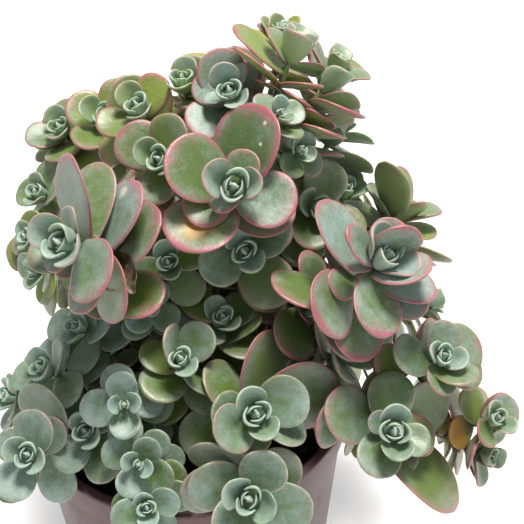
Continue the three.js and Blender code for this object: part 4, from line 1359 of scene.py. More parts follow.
def model_soil():
    """The soil's body: a plug with a lumpy top."""
    bottom = POT_FLOOR + SOIL_GAP
    foot = POT_FOOT_RADIUS - POT_WALL - SOIL_FOOT_GAP
    slope = (POT_NECK_RADIUS - POT_FOOT_RADIUS) / POT_HEIGHT
    edge_height = SOIL_HEIGHT - SOIL_EDGE_BELOW
    edge = foot + slope * (edge_height - bottom) - SOIL_WALL_GAP
    rings = [(foot, bottom + SOIL_FOOT_CHAMFER), (edge, edge_height)]
    for i in range(SOIL_RINGS):
        share = (i + 1) / SOIL_RINGS
        rise = SOIL_EDGE_RISE * min(1, share / SOIL_EDGE_RISE_OVER)
        rings.append((edge * (1 - share * (1 - SOIL_MIDDLE)), edge_height + rise))
    soil = turn_profile(rings, SOIL_SIDES)
    close_ring(soil, rings[-1][1], rings[-1][0] + 0.1)
    close_ring(soil, rings[0][1], POT_RIM_RADIUS)
    top = soil.vertex_groups.new(name="top")
    top.add([v.index for v in soil.data.vertices if v.co.z > edge_height * MM + SAME_HEIGHT], 1, "REPLACE")
    for name, size, height in SOIL_LUMPS:
        texture = bpy.data.textures.new(name, "CLOUDS")
        texture.noise_scale = size
        select_only(soil)
        lumps = soil.modifiers.new("lumps", "DISPLACE")
        lumps.texture = texture
        lumps.direction = "Z"
        lumps.strength = height * MM
        lumps.mid_level = SOIL_LEVEL
        lumps.vertex_group = "top"
        bpy.ops.object.modifier_apply(modifier=lumps.name)
    bpy.ops.object.shade_smooth_by_angle(angle=math.radians(SOIL_SMOOTH_BELOW))
    return soil


CRUMBS = 420
CRUMB_SEED = 11
CRUMB_RADIUS = (0.7, 2.2)
CRUMB_CLEAR_OF_STEM = 2.2
CRUMB_CLEAR_OF_WALL = 4
CRUMB_TOP = SOIL_HEIGHT + 1.2
CRUMB_BED = SOIL_HEIGHT - 1.9
CRUMB_RISE = 0.35
CRUMB_LOW = 0.8
CRUMB_UNEVENNESS = 0.24
CRUMB_FLAT_FROM = 0.45
CRUMB_FLAT_AT = 0.3
CRUMB_FLATNESS = 0.55


def model_crumb():
    """A unit crumb: a small ball pushed out of true, and one flat side."""
    deselect_all()
    bpy.ops.mesh.primitive_ico_sphere_add(subdivisions=1, radius=1)
    crumb = bpy.context.object
    bpy.ops.object.mode_set(mode="EDIT")
    bpy.ops.mesh.select_all(action="SELECT")
    bpy.ops.transform.vertex_random(offset=CRUMB_UNEVENNESS, seed=3)
    select_vertices(lambda co: co.z > CRUMB_FLAT_FROM)
    bpy.ops.transform.resize(value=(1, 1, CRUMB_FLATNESS), center_override=(0, 0, CRUMB_FLAT_AT))
    bpy.ops.object.mode_set(mode="OBJECT")
    return crumb


def scatter_crumbs(shoots, draw):
    """Crumbs of soil and bark strewn over the soil, clear of the stems."""
    form, faces = mesh_arrays(model_crumb())
    feet = [shoot.path[0] for shoot in shoots]
    parts = Assembly()
    reach = POT_NECK_RADIUS - POT_WALL - CRUMB_CLEAR_OF_WALL
    made = 0
    while made < CRUMBS:
        x, y = reach * draw(), reach * draw()
        size = CRUMB_RADIUS[0] + (CRUMB_RADIUS[1] - CRUMB_RADIUS[0]) * ((draw() + 1) / 2) ** 3
        long, spin, tint = 1 + 0.5 * (draw() + 1), math.pi * draw(), draw() * 0.5 + 0.5
        room = size + CRUMB_CLEAR_OF_STEM
        if math.hypot(x, y) > reach or any(math.hypot(x - f[0], y - f[1]) < room for f in feet):
            continue
        shape = form * (size * long, size, size * CRUMB_LOW)
        c, s = math.cos(spin), math.sin(spin)
        turn = np.array([[c, -s, 0], [s, c, 0], [0, 0, 1]])
        points = shape @ turn.T + np.array((x, y, CRUMB_BED + size * CRUMB_RISE))
        points[:, 2] = np.minimum(points[:, 2], CRUMB_TOP)
        place = np.tile((0.0, 0.0, 0.0, tint), (len(points), 1))
        parts.add(points, faces, place, (tint, 0, 0, 1), (0, 0, 0, 1), (*UNMARKED, 0))
        made += 1
    return parts.piece("soil_crumbs", 0)


# Materials


class Nodes:
    """Short names for the shader nodes that the materials are built from."""

    def __init__(self, tree):
        self.tree = tree

    def node(self, kind, **values):
        node = self.tree.nodes.new(kind)
        for name, value in values.items():
            setattr(node, name, value)
        return node

    def link(self, source, target):
        """Links a socket to an input, or sets the input to a plain value."""
        if isinstance(source, bpy.types.NodeSocket):
            self.tree.links.new(source, target)
        else:
            target.default_value = source

    def math(self, operation, a, b=0.0, clamp=False):
        node = self.node("ShaderNodeMath", operation=operation, use_clamp=clamp)
        self.link(a, node.inputs[0])
        self.link(b, node.inputs[1])
        return node.outputs[0]

    def plus(self, a, b, clamp=False):
        return self.math("ADD", a, b, clamp)

    def minus(self, a, b):
        return self.math("SUBTRACT", a, b)

    def times(self, a, b):
        return self.math("MULTIPLY", a, b)

    def ramp(self, value, low, high, to_low=0.0, to_high=1.0):
        """Smooth step of a value from low..high to to_low..to_high."""
        node = self.node("ShaderNodeMapRange", interpolation_type="SMOOTHSTEP", clamp=True)
        self.link(value, node.inputs["Value"])
        self.link(low, node.inputs["From Min"])
        self.link(high, node.inputs["From Max"])
        self.link(to_low, node.inputs["To Min"])
        self.link(to_high, node.inputs["To Max"])
        return node.outputs[0]

    def mix(self, share, a, b):
        """Colour a with a share of colour b over it; a plain colour has three numbers."""
        node = self.node("ShaderNodeMix", data_type="RGBA", clamp_factor=True)
        self.link(share, node.inputs["Factor"])
        self.link(a if isinstance(a, bpy.types.NodeSocket) else (*a, 1), node.inputs["A"])
        self.link(b if isinstance(b, bpy.types.NodeSocket) else (*b, 1), node.inputs["B"])
        return node.outputs["Result"]

    def over(self, base, share, strength, tint):
        """The base with a tint over it, by a share that counts for a part of its strength."""
        return self.mix(self.times(share, strength), base, tint)

    def noise(self, vector, size, detail=2.0, roughness=0.5):
        node = self.node("ShaderNodeTexNoise")
        self.link(vector, node.inputs["Vector"])
        self.link(size, node.inputs["Scale"])
        node.inputs["Detail"].default_value = detail
        node.inputs["Roughness"].default_value = roughness
        return node.outputs["Fac"]

    def spots(self, vector, size, reach):
        """Small round spots, 1 at their middles, at random places, and a random number for each."""
        node = self.node("ShaderNodeTexVoronoi", feature="F1")
        self.link(vector, node.inputs["Vector"])
        node.inputs["Scale"].default_value = size
        node.inputs["Randomness"].default_value = 1.0
        pick = self.node("ShaderNodeSeparateColor")
        self.link(node.outputs["Color"], pick.inputs["Color"])
        return self.ramp(node.outputs["Distance"], 0.0, reach, 1.0, 0.0), pick.outputs["Red"]

    def bump(self, height, distance, strength=1.0):
        node = self.node("ShaderNodeBump")
        node.inputs["Strength"].default_value = strength
        node.inputs["Distance"].default_value = distance
        self.link(height, node.inputs["Height"])
        return node.outputs["Normal"]

    def attribute(self, name):
        """An attribute's four numbers."""
        node = self.node("ShaderNodeAttribute", attribute_name=name)
        apart = self.node("ShaderNodeSeparateColor")
        self.link(node.outputs["Color"], apart.inputs["Color"])
        return [*apart.outputs, node.outputs["Alpha"]]

    def object_place(self):
        return self.node("ShaderNodeTexCoord").outputs["Object"]


def effect_group(name, inputs, outputs):
    """A shader node group with named sockets, and the nodes that its effect starts from and ends in."""
    group = bpy.data.node_groups.new(name, "ShaderNodeTree")
    for label, kind, default in inputs:
        socket = group.interface.new_socket(label, in_out="INPUT", socket_type=kind)
        if default is not None:
            socket.default_value = default
    for label, kind in outputs:
        group.interface.new_socket(label, in_out="OUTPUT", socket_type=kind)
    nodes = Nodes(group)
    return nodes, nodes.node("NodeGroupInput").outputs, nodes.node("NodeGroupOutput").inputs


NUMBER = "NodeSocketFloat"
VECTOR = "NodeSocketVector"


def grime_effect():
    """Dust and splashes that gather in patches: how much there is, and how rough it makes the skin."""
    inputs = [("Vector", VECTOR, None), ("Amount", NUMBER, 0.5), ("Size", NUMBER, 60.0)]
    nodes, get, put = effect_group("Patchy dust", inputs, [("Dust", NUMBER), ("Grain", NUMBER)])
    patches = nodes.noise(get["Vector"], get["Size"], 5, 0.62)
    grains = nodes.noise(get["Vector"], 2600, 1)
    most = nodes.plus(patches, nodes.times(grains, 0.25))
    low = nodes.minus(0.92, nodes.times(get["Amount"], 0.5))
    nodes.link(nodes.ramp(most, low, nodes.plus(low, 0.22)), put["Dust"])
    nodes.link(grains, put["Grain"])
    return nodes.tree


def bloom_effect():
    """The pale wax on a leaf: thick in most places, thin in streaks, rubbed off in patches."""
    inputs = [("Vector", VECTOR, None), ("Amount", NUMBER, 0.5), ("Seed", NUMBER, 0.5)]
    nodes, get, put = effect_group("Waxy bloom", inputs, [("Wax", NUMBER), ("Mottle", NUMBER)])
    broad = nodes.noise(get["Vector"], 75, 3, 0.6)
    middle = nodes.noise(get["Vector"], 320, 3, 0.65)
    fine = nodes.noise(get["Vector"], 1500, 2, 0.6)
    mottle = nodes.plus(nodes.times(middle, 0.6), nodes.times(fine, 0.4))
    broad_part = nodes.times(nodes.minus(broad, 0.5), 1.5)
    fine_part = nodes.times(nodes.minus(mottle, 0.5), 1.3)
    seeded = nodes.times(nodes.minus(get["Seed"], 0.5), 0.22)
    wax = nodes.plus(nodes.plus(broad_part, fine_part), nodes.plus(get["Amount"], seeded))
    nodes.link(nodes.math("MAXIMUM", nodes.math("MINIMUM", wax, 1.0), 0.0), put["Wax"])
    nodes.link(mottle, put["Mottle"])
    return nodes.tree


def margin_effect():
    """A leaf's coloured rim: a thin line on the rim itself, and a speckled haze that fades inwards."""
    inputs = [("Vector", VECTOR, None), ("Edge", NUMBER, 0.0), ("Reach", NUMBER, 0.35), ("Red", NUMBER, 0.5)]
    nodes, get, put = effect_group("Margin colour", inputs, [("Haze", NUMBER), ("Line", NUMBER)])
    ragged = nodes.noise(get["Vector"], 170, 3, 0.7)
    speckle = nodes.noise(get["Vector"], 1900, 2, 0.6)
    uneven_far = nodes.times(nodes.minus(ragged, 0.5), 1.1)
    uneven = nodes.plus(uneven_far, nodes.times(nodes.minus(speckle, 0.5), 0.8))
    haze_at = nodes.plus(get["Edge"], uneven)
    nodes.link(nodes.ramp(haze_at, nodes.minus(1.0, get["Reach"]), 1.16), put["Haze"])
    line_at = nodes.plus(get["Edge"], nodes.times(uneven, 0.09))
    line_from = nodes.minus(0.985, nodes.times(get["Red"], 0.06))
    nodes.link(nodes.ramp(line_at, line_from, nodes.plus(line_from, 0.05)), put["Line"])
    return nodes.tree


def marks_effect():
    """Which mark a leaf carries, and how near each point is to the mark's middle, in leaf lengths."""
    inputs = [("Vector", VECTOR, None), ("Along", NUMBER, 0.5), ("Across", NUMBER, 0.5), ("Mark", NUMBER, 0)]
    inputs += [("Mark along", NUMBER, 0.5), ("Mark across", NUMBER, 0.5)]
    names = ("Dry", "Blotch", "Spot", "Dots", "Nibble", "Scar", "Yellow")
    nodes, get, put = effect_group("Leaf marks", inputs, [(name, NUMBER) for name in names])

    def away(along_by, across_by):
        du = nodes.minus(nodes.minus(get["Along"], get["Mark along"]), along_by)
        dv = nodes.minus(nodes.minus(get["Across"], get["Mark across"]), across_by)
        dv = nodes.times(dv, BLADE_RATIO)
        squares = nodes.plus(nodes.times(du, du), nodes.times(dv, dv))
        return nodes.math("SQRT", squares)

    def chosen(mark):
        node = nodes.node("ShaderNodeMath", operation="COMPARE")
        nodes.link(get["Mark"], node.inputs[0])
        node.inputs[1].default_value = mark
        node.inputs[2].default_value = 0.4
        return node.outputs[0]

    here = away(0.0, 0.0)
    ragged = nodes.times(nodes.minus(nodes.noise(get["Vector"], 420, 3, 0.7), 0.5), 0.22)
    here_ragged = nodes.plus(here, ragged)
    first_dot = nodes.ramp(here, 0.016, 0.026, 1.0, 0.0)
    second_dot = nodes.ramp(away(-0.22, -0.05), 0.016, 0.026, 1.0, 0.0)
    reaches = {
        "Blotch": (BLOTCH, nodes.ramp(here_ragged, 0.02, 0.3, 1.0, 0.0)),
        "Spot": (BLOTCH, nodes.ramp(away(-0.09, 0.12), 0.02, 0.055, 1.0, 0.0)),
        "Dots": (DOTS, nodes.math("MAXIMUM", first_dot, second_dot)),
        "Nibble": (NIBBLE, nodes.ramp(nodes.plus(here_ragged, ragged), 0.12, 0.15, 1.0, 0.0)),
        "Scar": (SCAR, nodes.ramp(here_ragged, 0.03, 0.09, 1.0, 0.0)),
        "Yellow": (YELLOWED, nodes.ramp(here_ragged, 0.3, 0.75, 1.0, 0.25)),
        "Dry": (DRY, 1.0),
    }
    for label, (mark, reach) in reaches.items():
        nodes.link(nodes.times(chosen(mark), reach), put[label])
    return nodes.tree


def new_material(name):
    material = bpy.data.materials.new(name)
    material.use_nodes = True
    nodes = Nodes(material.node_tree)
    shader = material.node_tree.nodes["Principled BSDF"]
    return material, nodes, shader


def use_effect(nodes, tree, **values):
    node = nodes.node("ShaderNodeGroup", node_tree=tree)
    for name, value in values.items():
        nodes.link(value, node.inputs[name])
    return node.outputs


def leaf_material(settings, bloom, margin, marks):
    """The leaves and stems: green flesh under pale wax, rosy or cream along the rim, paler below."""
    material, nodes, shader = new_material("fleshy_leaf")
    place = nodes.object_place()
    edge, under, along, across = nodes.attribute("leaf_place")
    red, lime, wax_and_painted_shading, pale_rim_and_highlight = nodes.attribute("leaf_look")
    is_stem, seed, second_seed, age = nodes.attribute("leaf_kind")
    mark, mark_along, mark_across, youth = nodes.attribute("leaf_mark")

    wax = use_effect(nodes, bloom, Vector=place, Amount=wax_and_painted_shading, Seed=seed)
    rim = use_effect(nodes, margin, Vector=place, Edge=edge, Reach=settings.margin_reach, Red=red)
    marked_by = use_effect(
        nodes, marks, Vector=place, Along=along, Across=across, Mark=mark,
        **{"Mark along": mark_along, "Mark across": mark_across},
    )

    # Flesh: green, more yellow where light comes through and in old leaves.
    flesh = nodes.mix(lime, settings.flesh_colour, settings.lime_colour)
    flesh = nodes.over(flesh, age, 0.35, settings.old_colour)
    flesh = nodes.mix(nodes.ramp(along, 0.05, 0.42, 0.5, 0.0), flesh, settings.base_colour)

    # Wax lies over the flesh, thinner below and on very limy leaves. It is made thicker near the rim and
    # thinner in the middle, a painted highlight on the rounded rim, and its amount per head also paints light
    # and shade.
    thin = nodes.times(lime, 0.45)
    wax_and_painted_light = nodes.minus(wax["Wax"], thin)
    wax_and_painted_light = nodes.plus(wax_and_painted_light, nodes.ramp(edge, 0.1, 0.9, -0.14, 0.16), clamp=True)
    wax_tint = nodes.mix(second_seed, settings.wax_colour, settings.blue_wax_colour)
    skin = nodes.over(flesh, wax_and_painted_light, 0.85, wax_tint)
    below = nodes.mix(lime, settings.under_colour, settings.under_lime_colour)
    below = nodes.over(below, wax_and_painted_light, 0.5, wax_tint)
    skin = nodes.over(skin, under, 0.75, below)
    rubbed = nodes.times(nodes.ramp(wax["Mottle"], 0.3, 0.62, 1.0, 0.0), 0.35)
    skin = nodes.mix(rubbed, skin, flesh)

    # A rosy haze inside the rim, then the thin line on it, cream where the leaf has little red.
    haze = nodes.times(nodes.times(rim["Haze"], red), 0.62)
    skin = nodes.mix(haze, skin, settings.blush_colour)
    # The cream line is partly the leaf's pale margin and partly a painted highlight on the rounded rim.
    line_tint = nodes.mix(nodes.ramp(red, 0.15, 0.55), settings.cream_colour, settings.red_colour)
    line_share = nodes.math("MAXIMUM", nodes.times(pale_rim_and_highlight, 0.6), nodes.ramp(red, 0.1, 0.6, 0.0, 0.8))
    worn = nodes.ramp(wax["Mottle"], 0.36, 0.6, 0.35, 1.0)
    line_here = nodes.times(nodes.times(rim["Line"], line_share), worn)
    skin = nodes.mix(line_here, skin, line_tint)

    # Pale pores, brown flecks and rusty dots.
    pores, pore_pick = nodes.spots(place, 520, 0.13)
    picked = nodes.math("GREATER_THAN", pore_pick, 0.62)
    skin = nodes.over(skin, nodes.times(pores, picked), 0.5, settings.cream_colour)
    flecks, fleck_pick = nodes.spots(place, 150, 0.08)
    marked = nodes.math("GREATER_THAN", fleck_pick, 0.68)
    skin = nodes.over(skin, nodes.times(flecks, marked), 0.7, settings.fleck_colour)
    rust = nodes.noise(place, 900, 3, 0.7)
    near_rim = nodes.times(red, nodes.ramp(edge, 0.3, 0.95, 0.3, 0.9))
    rust_here = nodes.times(nodes.ramp(rust, 0.51, 0.66), near_rim)
    skin = nodes.over(skin, rust_here, 0.7, settings.rust_colour)
    skin = nodes.over(skin, youth, 0.6, settings.young_colour)

    # The marks that single leaves carry.
    mark_tints = {
        "Yellow": (0.85, settings.yellow_colour), "Blotch": (0.95, settings.yellow_colour),
        "Spot": (0.8, settings.fleck_colour), "Dots": (0.85, settings.scar_colour),
        "Nibble": (0.9, settings.fresh_colour), "Scar": (0.8, settings.scar_colour),
    }
    for label, (strength, tint) in mark_tints.items():
        skin = nodes.over(skin, marked_by[label], strength, tint)
    dry_tint = nodes.mix(nodes.ramp(wax["Mottle"], 0.46, 0.62), settings.dry_colour, settings.bark_colour)
    skin = nodes.mix(marked_by["Dry"], skin, dry_tint)

    # Stems are the same skin without wax, browner towards the soil.
    stem = nodes.mix(along, settings.stem_colour, settings.bark_colour)
    stem = nodes.over(stem, wax["Mottle"], 0.5, settings.flesh_colour)
    skin = nodes.mix(is_stem, skin, stem)

    nodes.link(skin, shader.inputs["Base Color"])
    rough = nodes.plus(0.36, nodes.times(wax_and_painted_light, 0.14))
    rough = nodes.plus(rough, nodes.times(wax["Mottle"], 0.08))
    nodes.link(rough, shader.inputs["Roughness"])
    cells = nodes.noise(place, 1800, 2, 0.6)
    dents = nodes.noise(place, 230, 2, 0.5)
    height = nodes.plus(nodes.times(cells, 0.25), dents)
    nodes.link(nodes.bump(height, 0.0006, 0.5), shader.inputs["Normal"])
    shader.inputs["Specular IOR Level"].default_value = 0.75
    shader.inputs["Sheen Weight"].default_value = 0.12
    shader.inputs["Sheen Roughness"].default_value = 0.4
    shader.inputs["Subsurface Weight"].default_value = settings.subsurface
    shader.inputs["Subsurface Radius"].default_value = (0.6, 1.0, 0.25)
    shader.inputs["Subsurface Scale"].default_value = 0.0035
    return material


def pot_material(settings, dust):
    """Matt maroon plastic, dusty, with faint drawn lines."""
    material, nodes, shader = new_material("pot_plastic")
    place = nodes.object_place()
    dusty = use_effect(nodes, dust, Vector=place, Amount=settings.dust, Size=42.0)
    broad = nodes.noise(place, 22, 3)
    colour = nodes.mix(broad, settings.colour, settings.faded_colour)
    stretched = nodes.node("ShaderNodeMapping")
    nodes.link(place, stretched.inputs["Vector"])
    stretched.inputs["Scale"].default_value = (40, 40, 900)
    lines = nodes.noise(stretched.outputs["Vector"], 1.0, 3, 0.6)
    colour = nodes.over(colour, nodes.ramp(lines, 0.55, 0.75), 0.25, settings.faded_colour)
    colour = nodes.over(colour, dusty["Dust"], 0.35, settings.dust_colour)
    nodes.link(colour, shader.inputs["Base Color"])
    rough = nodes.plus(0.42, nodes.times(dusty["Dust"], 0.35))
    nodes.link(nodes.plus(rough, nodes.times(lines, 0.1)), shader.inputs["Roughness"])
    height = nodes.plus(nodes.times(lines, 0.6), nodes.times(dusty["Grain"], 0.4))
    nodes.link(nodes.bump(height, 0.0004, 0.35), shader.inputs["Normal"])
    shader.inputs["Specular IOR Level"].default_value = 0.5
    return material


def soil_material(settings, dust):
    """Dark moist soil with lighter fibres and grains; crumbs carry their own tint."""
    material, nodes, shader = new_material("potting_soil")
    place = nodes.object_place()
    dry = use_effect(nodes, dust, Vector=place, Amount=0.45, Size=120.0)
    tint, _, _, is_crumb = nodes.attribute("leaf_look")
    grains = nodes.noise(place, 900, 4, 0.7)
    lumps = nodes.noise(place, 140, 4, 0.6)
    colour = nodes.mix(nodes.ramp(grains, 0.35, 0.7), settings.dark_colour, settings.brown_colour)
    colour = nodes.over(colour, nodes.ramp(lumps, 0.5, 0.7), 0.5, settings.brown_colour)
    colour = nodes.over(colour, dry["Dust"], 0.35, settings.bark_colour)
    crumb = nodes.mix(nodes.ramp(tint, 0.2, 0.95), settings.dark_colour, settings.bark_colour)
    pale = nodes.math("GREATER_THAN", tint, 0.93)
    crumb = nodes.mix(pale, crumb, settings.grit_colour)
    crumb = nodes.over(crumb, grains, 0.5, settings.dark_colour)
    has_tint = nodes.times(is_crumb, nodes.math("GREATER_THAN", tint, 0.001))
    nodes.link(nodes.mix(has_tint, colour, crumb), shader.inputs["Base Color"])
    nodes.link(nodes.ramp(lumps, 0.3, 0.7, 0.95, 0.75), shader.inputs["Roughness"])
    height = nodes.plus(nodes.times(grains, 0.7), lumps)
    nodes.link(nodes.bump(height, 0.0016, 0.8), shader.inputs["Normal"])
    shader.inputs["Specular IOR Level"].default_value = 0.25
    return material


# Settings that a user may change


def colour_property(name, words, default):
    return FloatVectorProperty(
        name=name, description=words, subtype="COLOR", size=3, min=0, max=1, default=default
    )


class LeafSettings(bpy.types.PropertyGroup):
    """Colours and fineness of the leaves."""

    fineness: IntProperty(
        name="Fineness", description="How often each leaf near the front is rounded", default=2, min=0, max=2
    )
    back_fineness: IntProperty(
        name="Fineness behind", description="The same for the small and hidden stems", default=1, min=0, max=2
    )
    subsurface: FloatProperty(
        name="Translucence", description="Light that spreads in the flesh", default=0.22, subtype="FACTOR"
    )
    margin_reach: FloatProperty(
        name="Margin reach", description="How far red creeps in from the rim", default=0.36, subtype="FACTOR"
    )
    flesh_colour: colour_property("Flesh", "Green flesh where the wax is gone", (0.05, 0.108, 0.024))
    lime_colour: colour_property("Lime", "Flesh that light comes through", (0.28, 0.36, 0.06))
    old_colour: colour_property("Old", "Flesh of the oldest leaves", (0.08, 0.13, 0.028))
    base_colour: colour_property("Base", "Flesh near the stem", (0.06, 0.15, 0.033))
    wax_colour: colour_property("Wax", "Pale wax on the leaf", (0.3, 0.4, 0.355))
    blue_wax_colour: colour_property("Blue wax", "Bluer wax on some leaves", (0.28, 0.39, 0.395))
    under_colour: colour_property("Underside", "The leaf's paler underside", (0.19, 0.26, 0.15))
    under_lime_colour: colour_property("Lime underside", "Underside with light through it", (0.36, 0.43, 0.1))
    cream_colour: colour_property("Cream", "Pale rims and pores", (0.62, 0.58, 0.42))
    blush_colour: colour_property("Blush", "Rosy haze inside the rim", (0.36, 0.145, 0.165))
    red_colour: colour_property("Red", "Red line on the rim", (0.38, 0.062, 0.115))
    fleck_colour: colour_property("Flecks", "Small brown marks", (0.16, 0.08, 0.05))
    rust_colour: colour_property("Rust", "Reddish speckles near the rim", (0.25, 0.09, 0.07))
    young_colour: colour_property("Young", "New growth in the bud", (0.42, 0.54, 0.45))
    yellow_colour: colour_property("Yellow", "Yellowed leaves and blotches", (0.58, 0.29, 0.06))
    fresh_colour: colour_property("Fresh", "Bright flesh where a leaf was nibbled", (0.05, 0.15, 0.01))
    scar_colour: colour_property("Scar", "Pale scars and dots", (0.66, 0.58, 0.5))
    dry_colour: colour_property("Dry", "Withered leaves", (0.06, 0.03, 0.016))
    stem_colour: colour_property("Stem", "Young stems", (0.16, 0.2, 0.08))
    bark_colour: colour_property("Old stem", "Stems near the soil", (0.14, 0.09, 0.055))


class PotSettings(bpy.types.PropertyGroup):
    """Finish of the pot."""

    colour: colour_property("Plastic", "The pot's colour", (0.062, 0.024, 0.032))
    faded_colour: colour_property("Faded", "Where the sun has faded it", (0.11, 0.044, 0.052))
    dust_colour: colour_property("Dust", "Dried splashes and dust", (0.3, 0.22, 0.18))
    dust: FloatProperty(name="Dust", description="How dusty the pot is", default=0.5, subtype="FACTOR")


class SoilSettings(bpy.types.PropertyGroup):
    """Colours of the soil."""

    dark_colour: colour_property("Dark", "Moist soil", (0.016, 0.011, 0.008))
    brown_colour: colour_property("Brown", "Lighter soil", (0.05, 0.032, 0.02))
    bark_colour: colour_property("Bark", "Bark and dry crumbs", (0.11, 0.068, 0.04))
    grit_colour: colour_property("Grit", "Pale grit", (0.45, 0.42, 0.38))


class StageSettings(bpy.types.PropertyGroup):
    """Lights and camera."""

    key_power: FloatProperty(
        name="Key light", description="Light from high above", default=23.0, unit="POWER"
    )
    fill_power: FloatProperty(
        name="Fill light", description="Light from the front", default=1.5, unit="POWER"
    )
    sky: FloatProperty(name="Sky", description="Strength of the even light all round", default=0.44)
    lens: FloatProperty(name="Lens", description="Focal length", default=61.56, unit="CAMERA")


# Operators: one for each piece or group of pieces


class StonecropOperator:
    """What the operators share."""

    bl_options = {"REGISTER", "UNDO"}


GROWN = []


def plant():
    """The grown plant, grown once and kept for all the operators."""
    if not GROWN:
        GROWN.extend(grow_plant())
    return GROWN


class STONECROP_OT_pot(StonecropOperator, bpy.types.Operator):
    """Models the pot and gives it its plastic"""

    bl_idname = "stonecrop.pot"
    bl_label = "Pot"

    def execute(self, context):
        dust = bpy.data.node_groups["Patchy dust"]
        pot = model_pot()
        pot.data.materials.append(pot_material(context.scene.stonecrop_pot, dust))
        finish_piece(pot, "nursery_pot", "pot_plastic", "pot")
        return {"FINISHED"}


class STONECROP_OT_soil(StonecropOperator, bpy.types.Operator):
    """Models the soil and strews crumbs over it"""

    bl_idname = "stonecrop.soil"
    bl_label = "Soil"

    def execute(self, context):
        material = soil_material(context.scene.stonecrop_soil, bpy.data.node_groups["Patchy dust"])
        soil = model_soil()
        crumbs = scatter_crumbs(plant(), make_draw(CRUMB_SEED))
        for piece, name, nodes in ((soil, "soil_body", ["soil"]), (crumbs, "soil_crumbs", [])):
            piece.data.materials.append(material)
            finish_piece(piece, name, "potting_soil", *nodes)
        return {"FINISHED"}


class STONECROP_OT_effects(StonecropOperator, bpy.types.Operator):
    """Builds the node groups that the materials share"""

    bl_idname = "stonecrop.effects"
    bl_label = "Shared effects"

    def execute(self, context):
        for make in (grime_effect, bloom_effect, margin_effect, marks_effect):
            make()
        return {"FINISHED"}


UNEVENNESS_SEED = 5
NEAREST = (
    "crown_front", "crown_upper", "crown_right", "left_main", "right_main", "front_mid", "right_low",
    "left_corner", "front_low",
)


class STONECROP_OT_shoots(StonecropOperator, bpy.types.Operator):
    """Grows the leafy stems, each a piece that stands for its solid"""

    bl_idname = "stonecrop.shoots"
    bl_label = "Leafy stems"

    def execute(self, context):
        settings = context.scene.stonecrop_leaf
        groups = bpy.data.node_groups
        material = leaf_material(
            settings, groups["Waxy bloom"], groups["Margin colour"], groups["Leaf marks"]
        )
        forms = {
            "fine_leaf": model_leaf(FINE_LEAF),
            "plain_leaf": model_leaf(PLAIN_LEAF),
            "stem": mesh_arrays(model_stem()),
        }
        draw = make_draw(UNEVENNESS_SEED)
        for shoot in plant():
            levels = settings.fineness if shoot.name in NEAREST else settings.back_fineness
            piece = assemble_shoot(shoot, forms, draw, levels)
            piece.data.materials.append(material)
            finish_piece(piece, "leafy_" + shoot.name, "leaf", "shoot_" + shoot.name)
        return {"FINISHED"}


# The stage, in metres; each light is (place, what it looks at, size, colour)

CAMERA_PLACE = (0.028, -0.238, 0.3646)
CAMERA_ELEVATION = 40.0
CAMERA_SENSOR = 36
KEY_LIGHT = ((0.14, 0.16, 1.28), (0.02, 0.0, 0.16), 0.32, (1.0, 0.97, 0.92))
FILL_LIGHT = ((0.5, -1.0, 0.7), (0.02, 0.0, 0.14), 0.9, (0.93, 0.97, 1.0))
SKY_COLOUR = (0.96, 0.98, 1.0, 1)
SKY_SEEN = 1.0
FLOOR_SIZE = 6
FLOOR_BELOW = 0.0005
FLOOR_GREY = 0.9
FLOOR_GLOW = 0.3


class STONECROP_OT_stage(StonecropOperator, bpy.types.Operator):
    """Sets the floor, the lights and the camera"""

    bl_idname = "stonecrop.stage"
    bl_label = "Stage"

    def execute(self, context):
        settings = context.scene.stonecrop_stage
        make_floor()
        make_light("key_light", settings.key_power, *KEY_LIGHT)
        make_light("fill_light", settings.fill_power, *FILL_LIGHT)
        world = bpy.data.worlds.new("even_sky")
        world.use_nodes = True
        sky = world.node_tree.nodes["Background"]
        sky.inputs["Color"].default_value = SKY_COLOUR
        nodes = Nodes(world.node_tree)
        seen = nodes.node("ShaderNodeLightPath").outputs["Is Camera Ray"]
        nodes.link(nodes.ramp(seen, 0.0, 1.0, settings.sky, SKY_SEEN), sky.inputs["Strength"])
        context.scene.world = world
        context.scene.view_settings.view_transform = "Standard"
        camera_data = bpy.data.cameras.new("camera")
        camera_data.sensor_width = CAMERA_SENSOR
        camera_data.lens = settings.lens
        camera = bpy.data.objects.new("camera", camera_data)
        camera.location = CAMERA_PLACE
        camera.rotation_euler = (math.radians(90 - CAMERA_ELEVATION), 0, 0)
        context.collection.objects.link(camera)
        context.scene.camera = camera
        return {"FINISHED"}


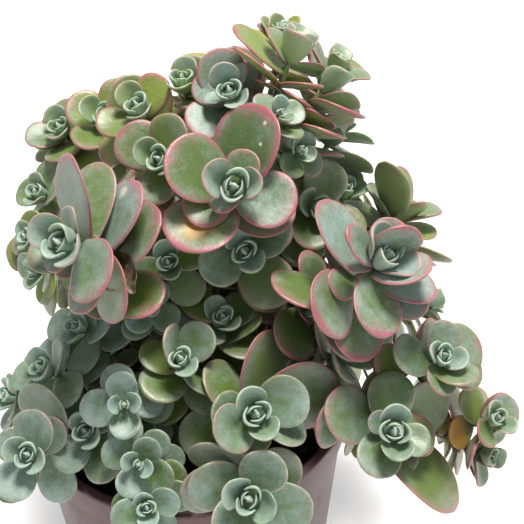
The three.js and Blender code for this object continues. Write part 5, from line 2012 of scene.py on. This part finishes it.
def make_floor():
    """A pale paper floor that glows a little, so that it stays pale in the plant's shade."""
    deselect_all()
    bpy.ops.mesh.primitive_plane_add(size=FLOOR_SIZE, location=(0, 0, -FLOOR_BELOW))
    floor = bpy.context.object
    floor.name = "floor"
    material, _, shader = new_material("floor_paper")
    shader.inputs["Base Color"].default_value = (FLOOR_GREY, FLOOR_GREY, FLOOR_GREY, 1)
    shader.inputs["Roughness"].default_value = 0.9
    shader.inputs["Emission Color"].default_value = (1, 1, 1, 1)
    shader.inputs["Emission Strength"].default_value = FLOOR_GLOW
    floor.data.materials.append(material)


def make_light(name, power, place, target, size, colour):
    """A soft square light that looks at a target."""
    data = bpy.data.lights.new(name, "AREA")
    data.shape = "SQUARE"
    data.size = size
    data.energy = power
    data.color = colour
    light = bpy.data.objects.new(name, data)
    light.location = place
    away = [t - p for t, p in zip(target, place)]
    flat = math.hypot(away[0], away[1])
    light.rotation_euler = (math.atan2(flat, -away[2]), 0, math.atan2(-away[0], away[1]))
    bpy.context.collection.objects.link(light)


OPERATORS = (
    STONECROP_OT_effects,
    STONECROP_OT_pot,
    STONECROP_OT_soil,
    STONECROP_OT_shoots,
    STONECROP_OT_stage,
)


class STONECROP_PT_panel(bpy.types.Panel):
    """Lists the operators and their settings"""

    bl_idname = "STONECROP_PT_panel"
    bl_label = "Potted stonecrop"
    bl_space_type = "VIEW_3D"
    bl_region_type = "UI"
    bl_category = "Stonecrop"

    def draw(self, context):
        for operator in OPERATORS:
            self.layout.operator(operator.bl_idname)
        for name in SETTINGS:
            box = self.layout.box()
            settings = getattr(context.scene, name)
            for label in settings.bl_rna.properties.keys():
                if label not in ("rna_type", "name"):
                    box.prop(settings, label)


SETTINGS = {
    "stonecrop_leaf": LeafSettings,
    "stonecrop_pot": PotSettings,
    "stonecrop_soil": SoilSettings,
    "stonecrop_stage": StageSettings,
}


def register():
    for cls in (*SETTINGS.values(), *OPERATORS, STONECROP_PT_panel):
        bpy.utils.register_class(cls)
    for name, cls in SETTINGS.items():
        setattr(bpy.types.Scene, name, PointerProperty(type=cls))


def unregister():
    for name in SETTINGS:
        delattr(bpy.types.Scene, name)
    for cls in (STONECROP_PT_panel, *reversed(OPERATORS), *SETTINGS.values()):
        bpy.utils.unregister_class(cls)


def main():
    register()
    bpy.ops.stonecrop.effects()
    bpy.ops.stonecrop.pot()
    bpy.ops.stonecrop.soil()
    bpy.ops.stonecrop.shoots()
    bpy.ops.stonecrop.stage()
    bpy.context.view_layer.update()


if __name__ == "__main__":
    main()
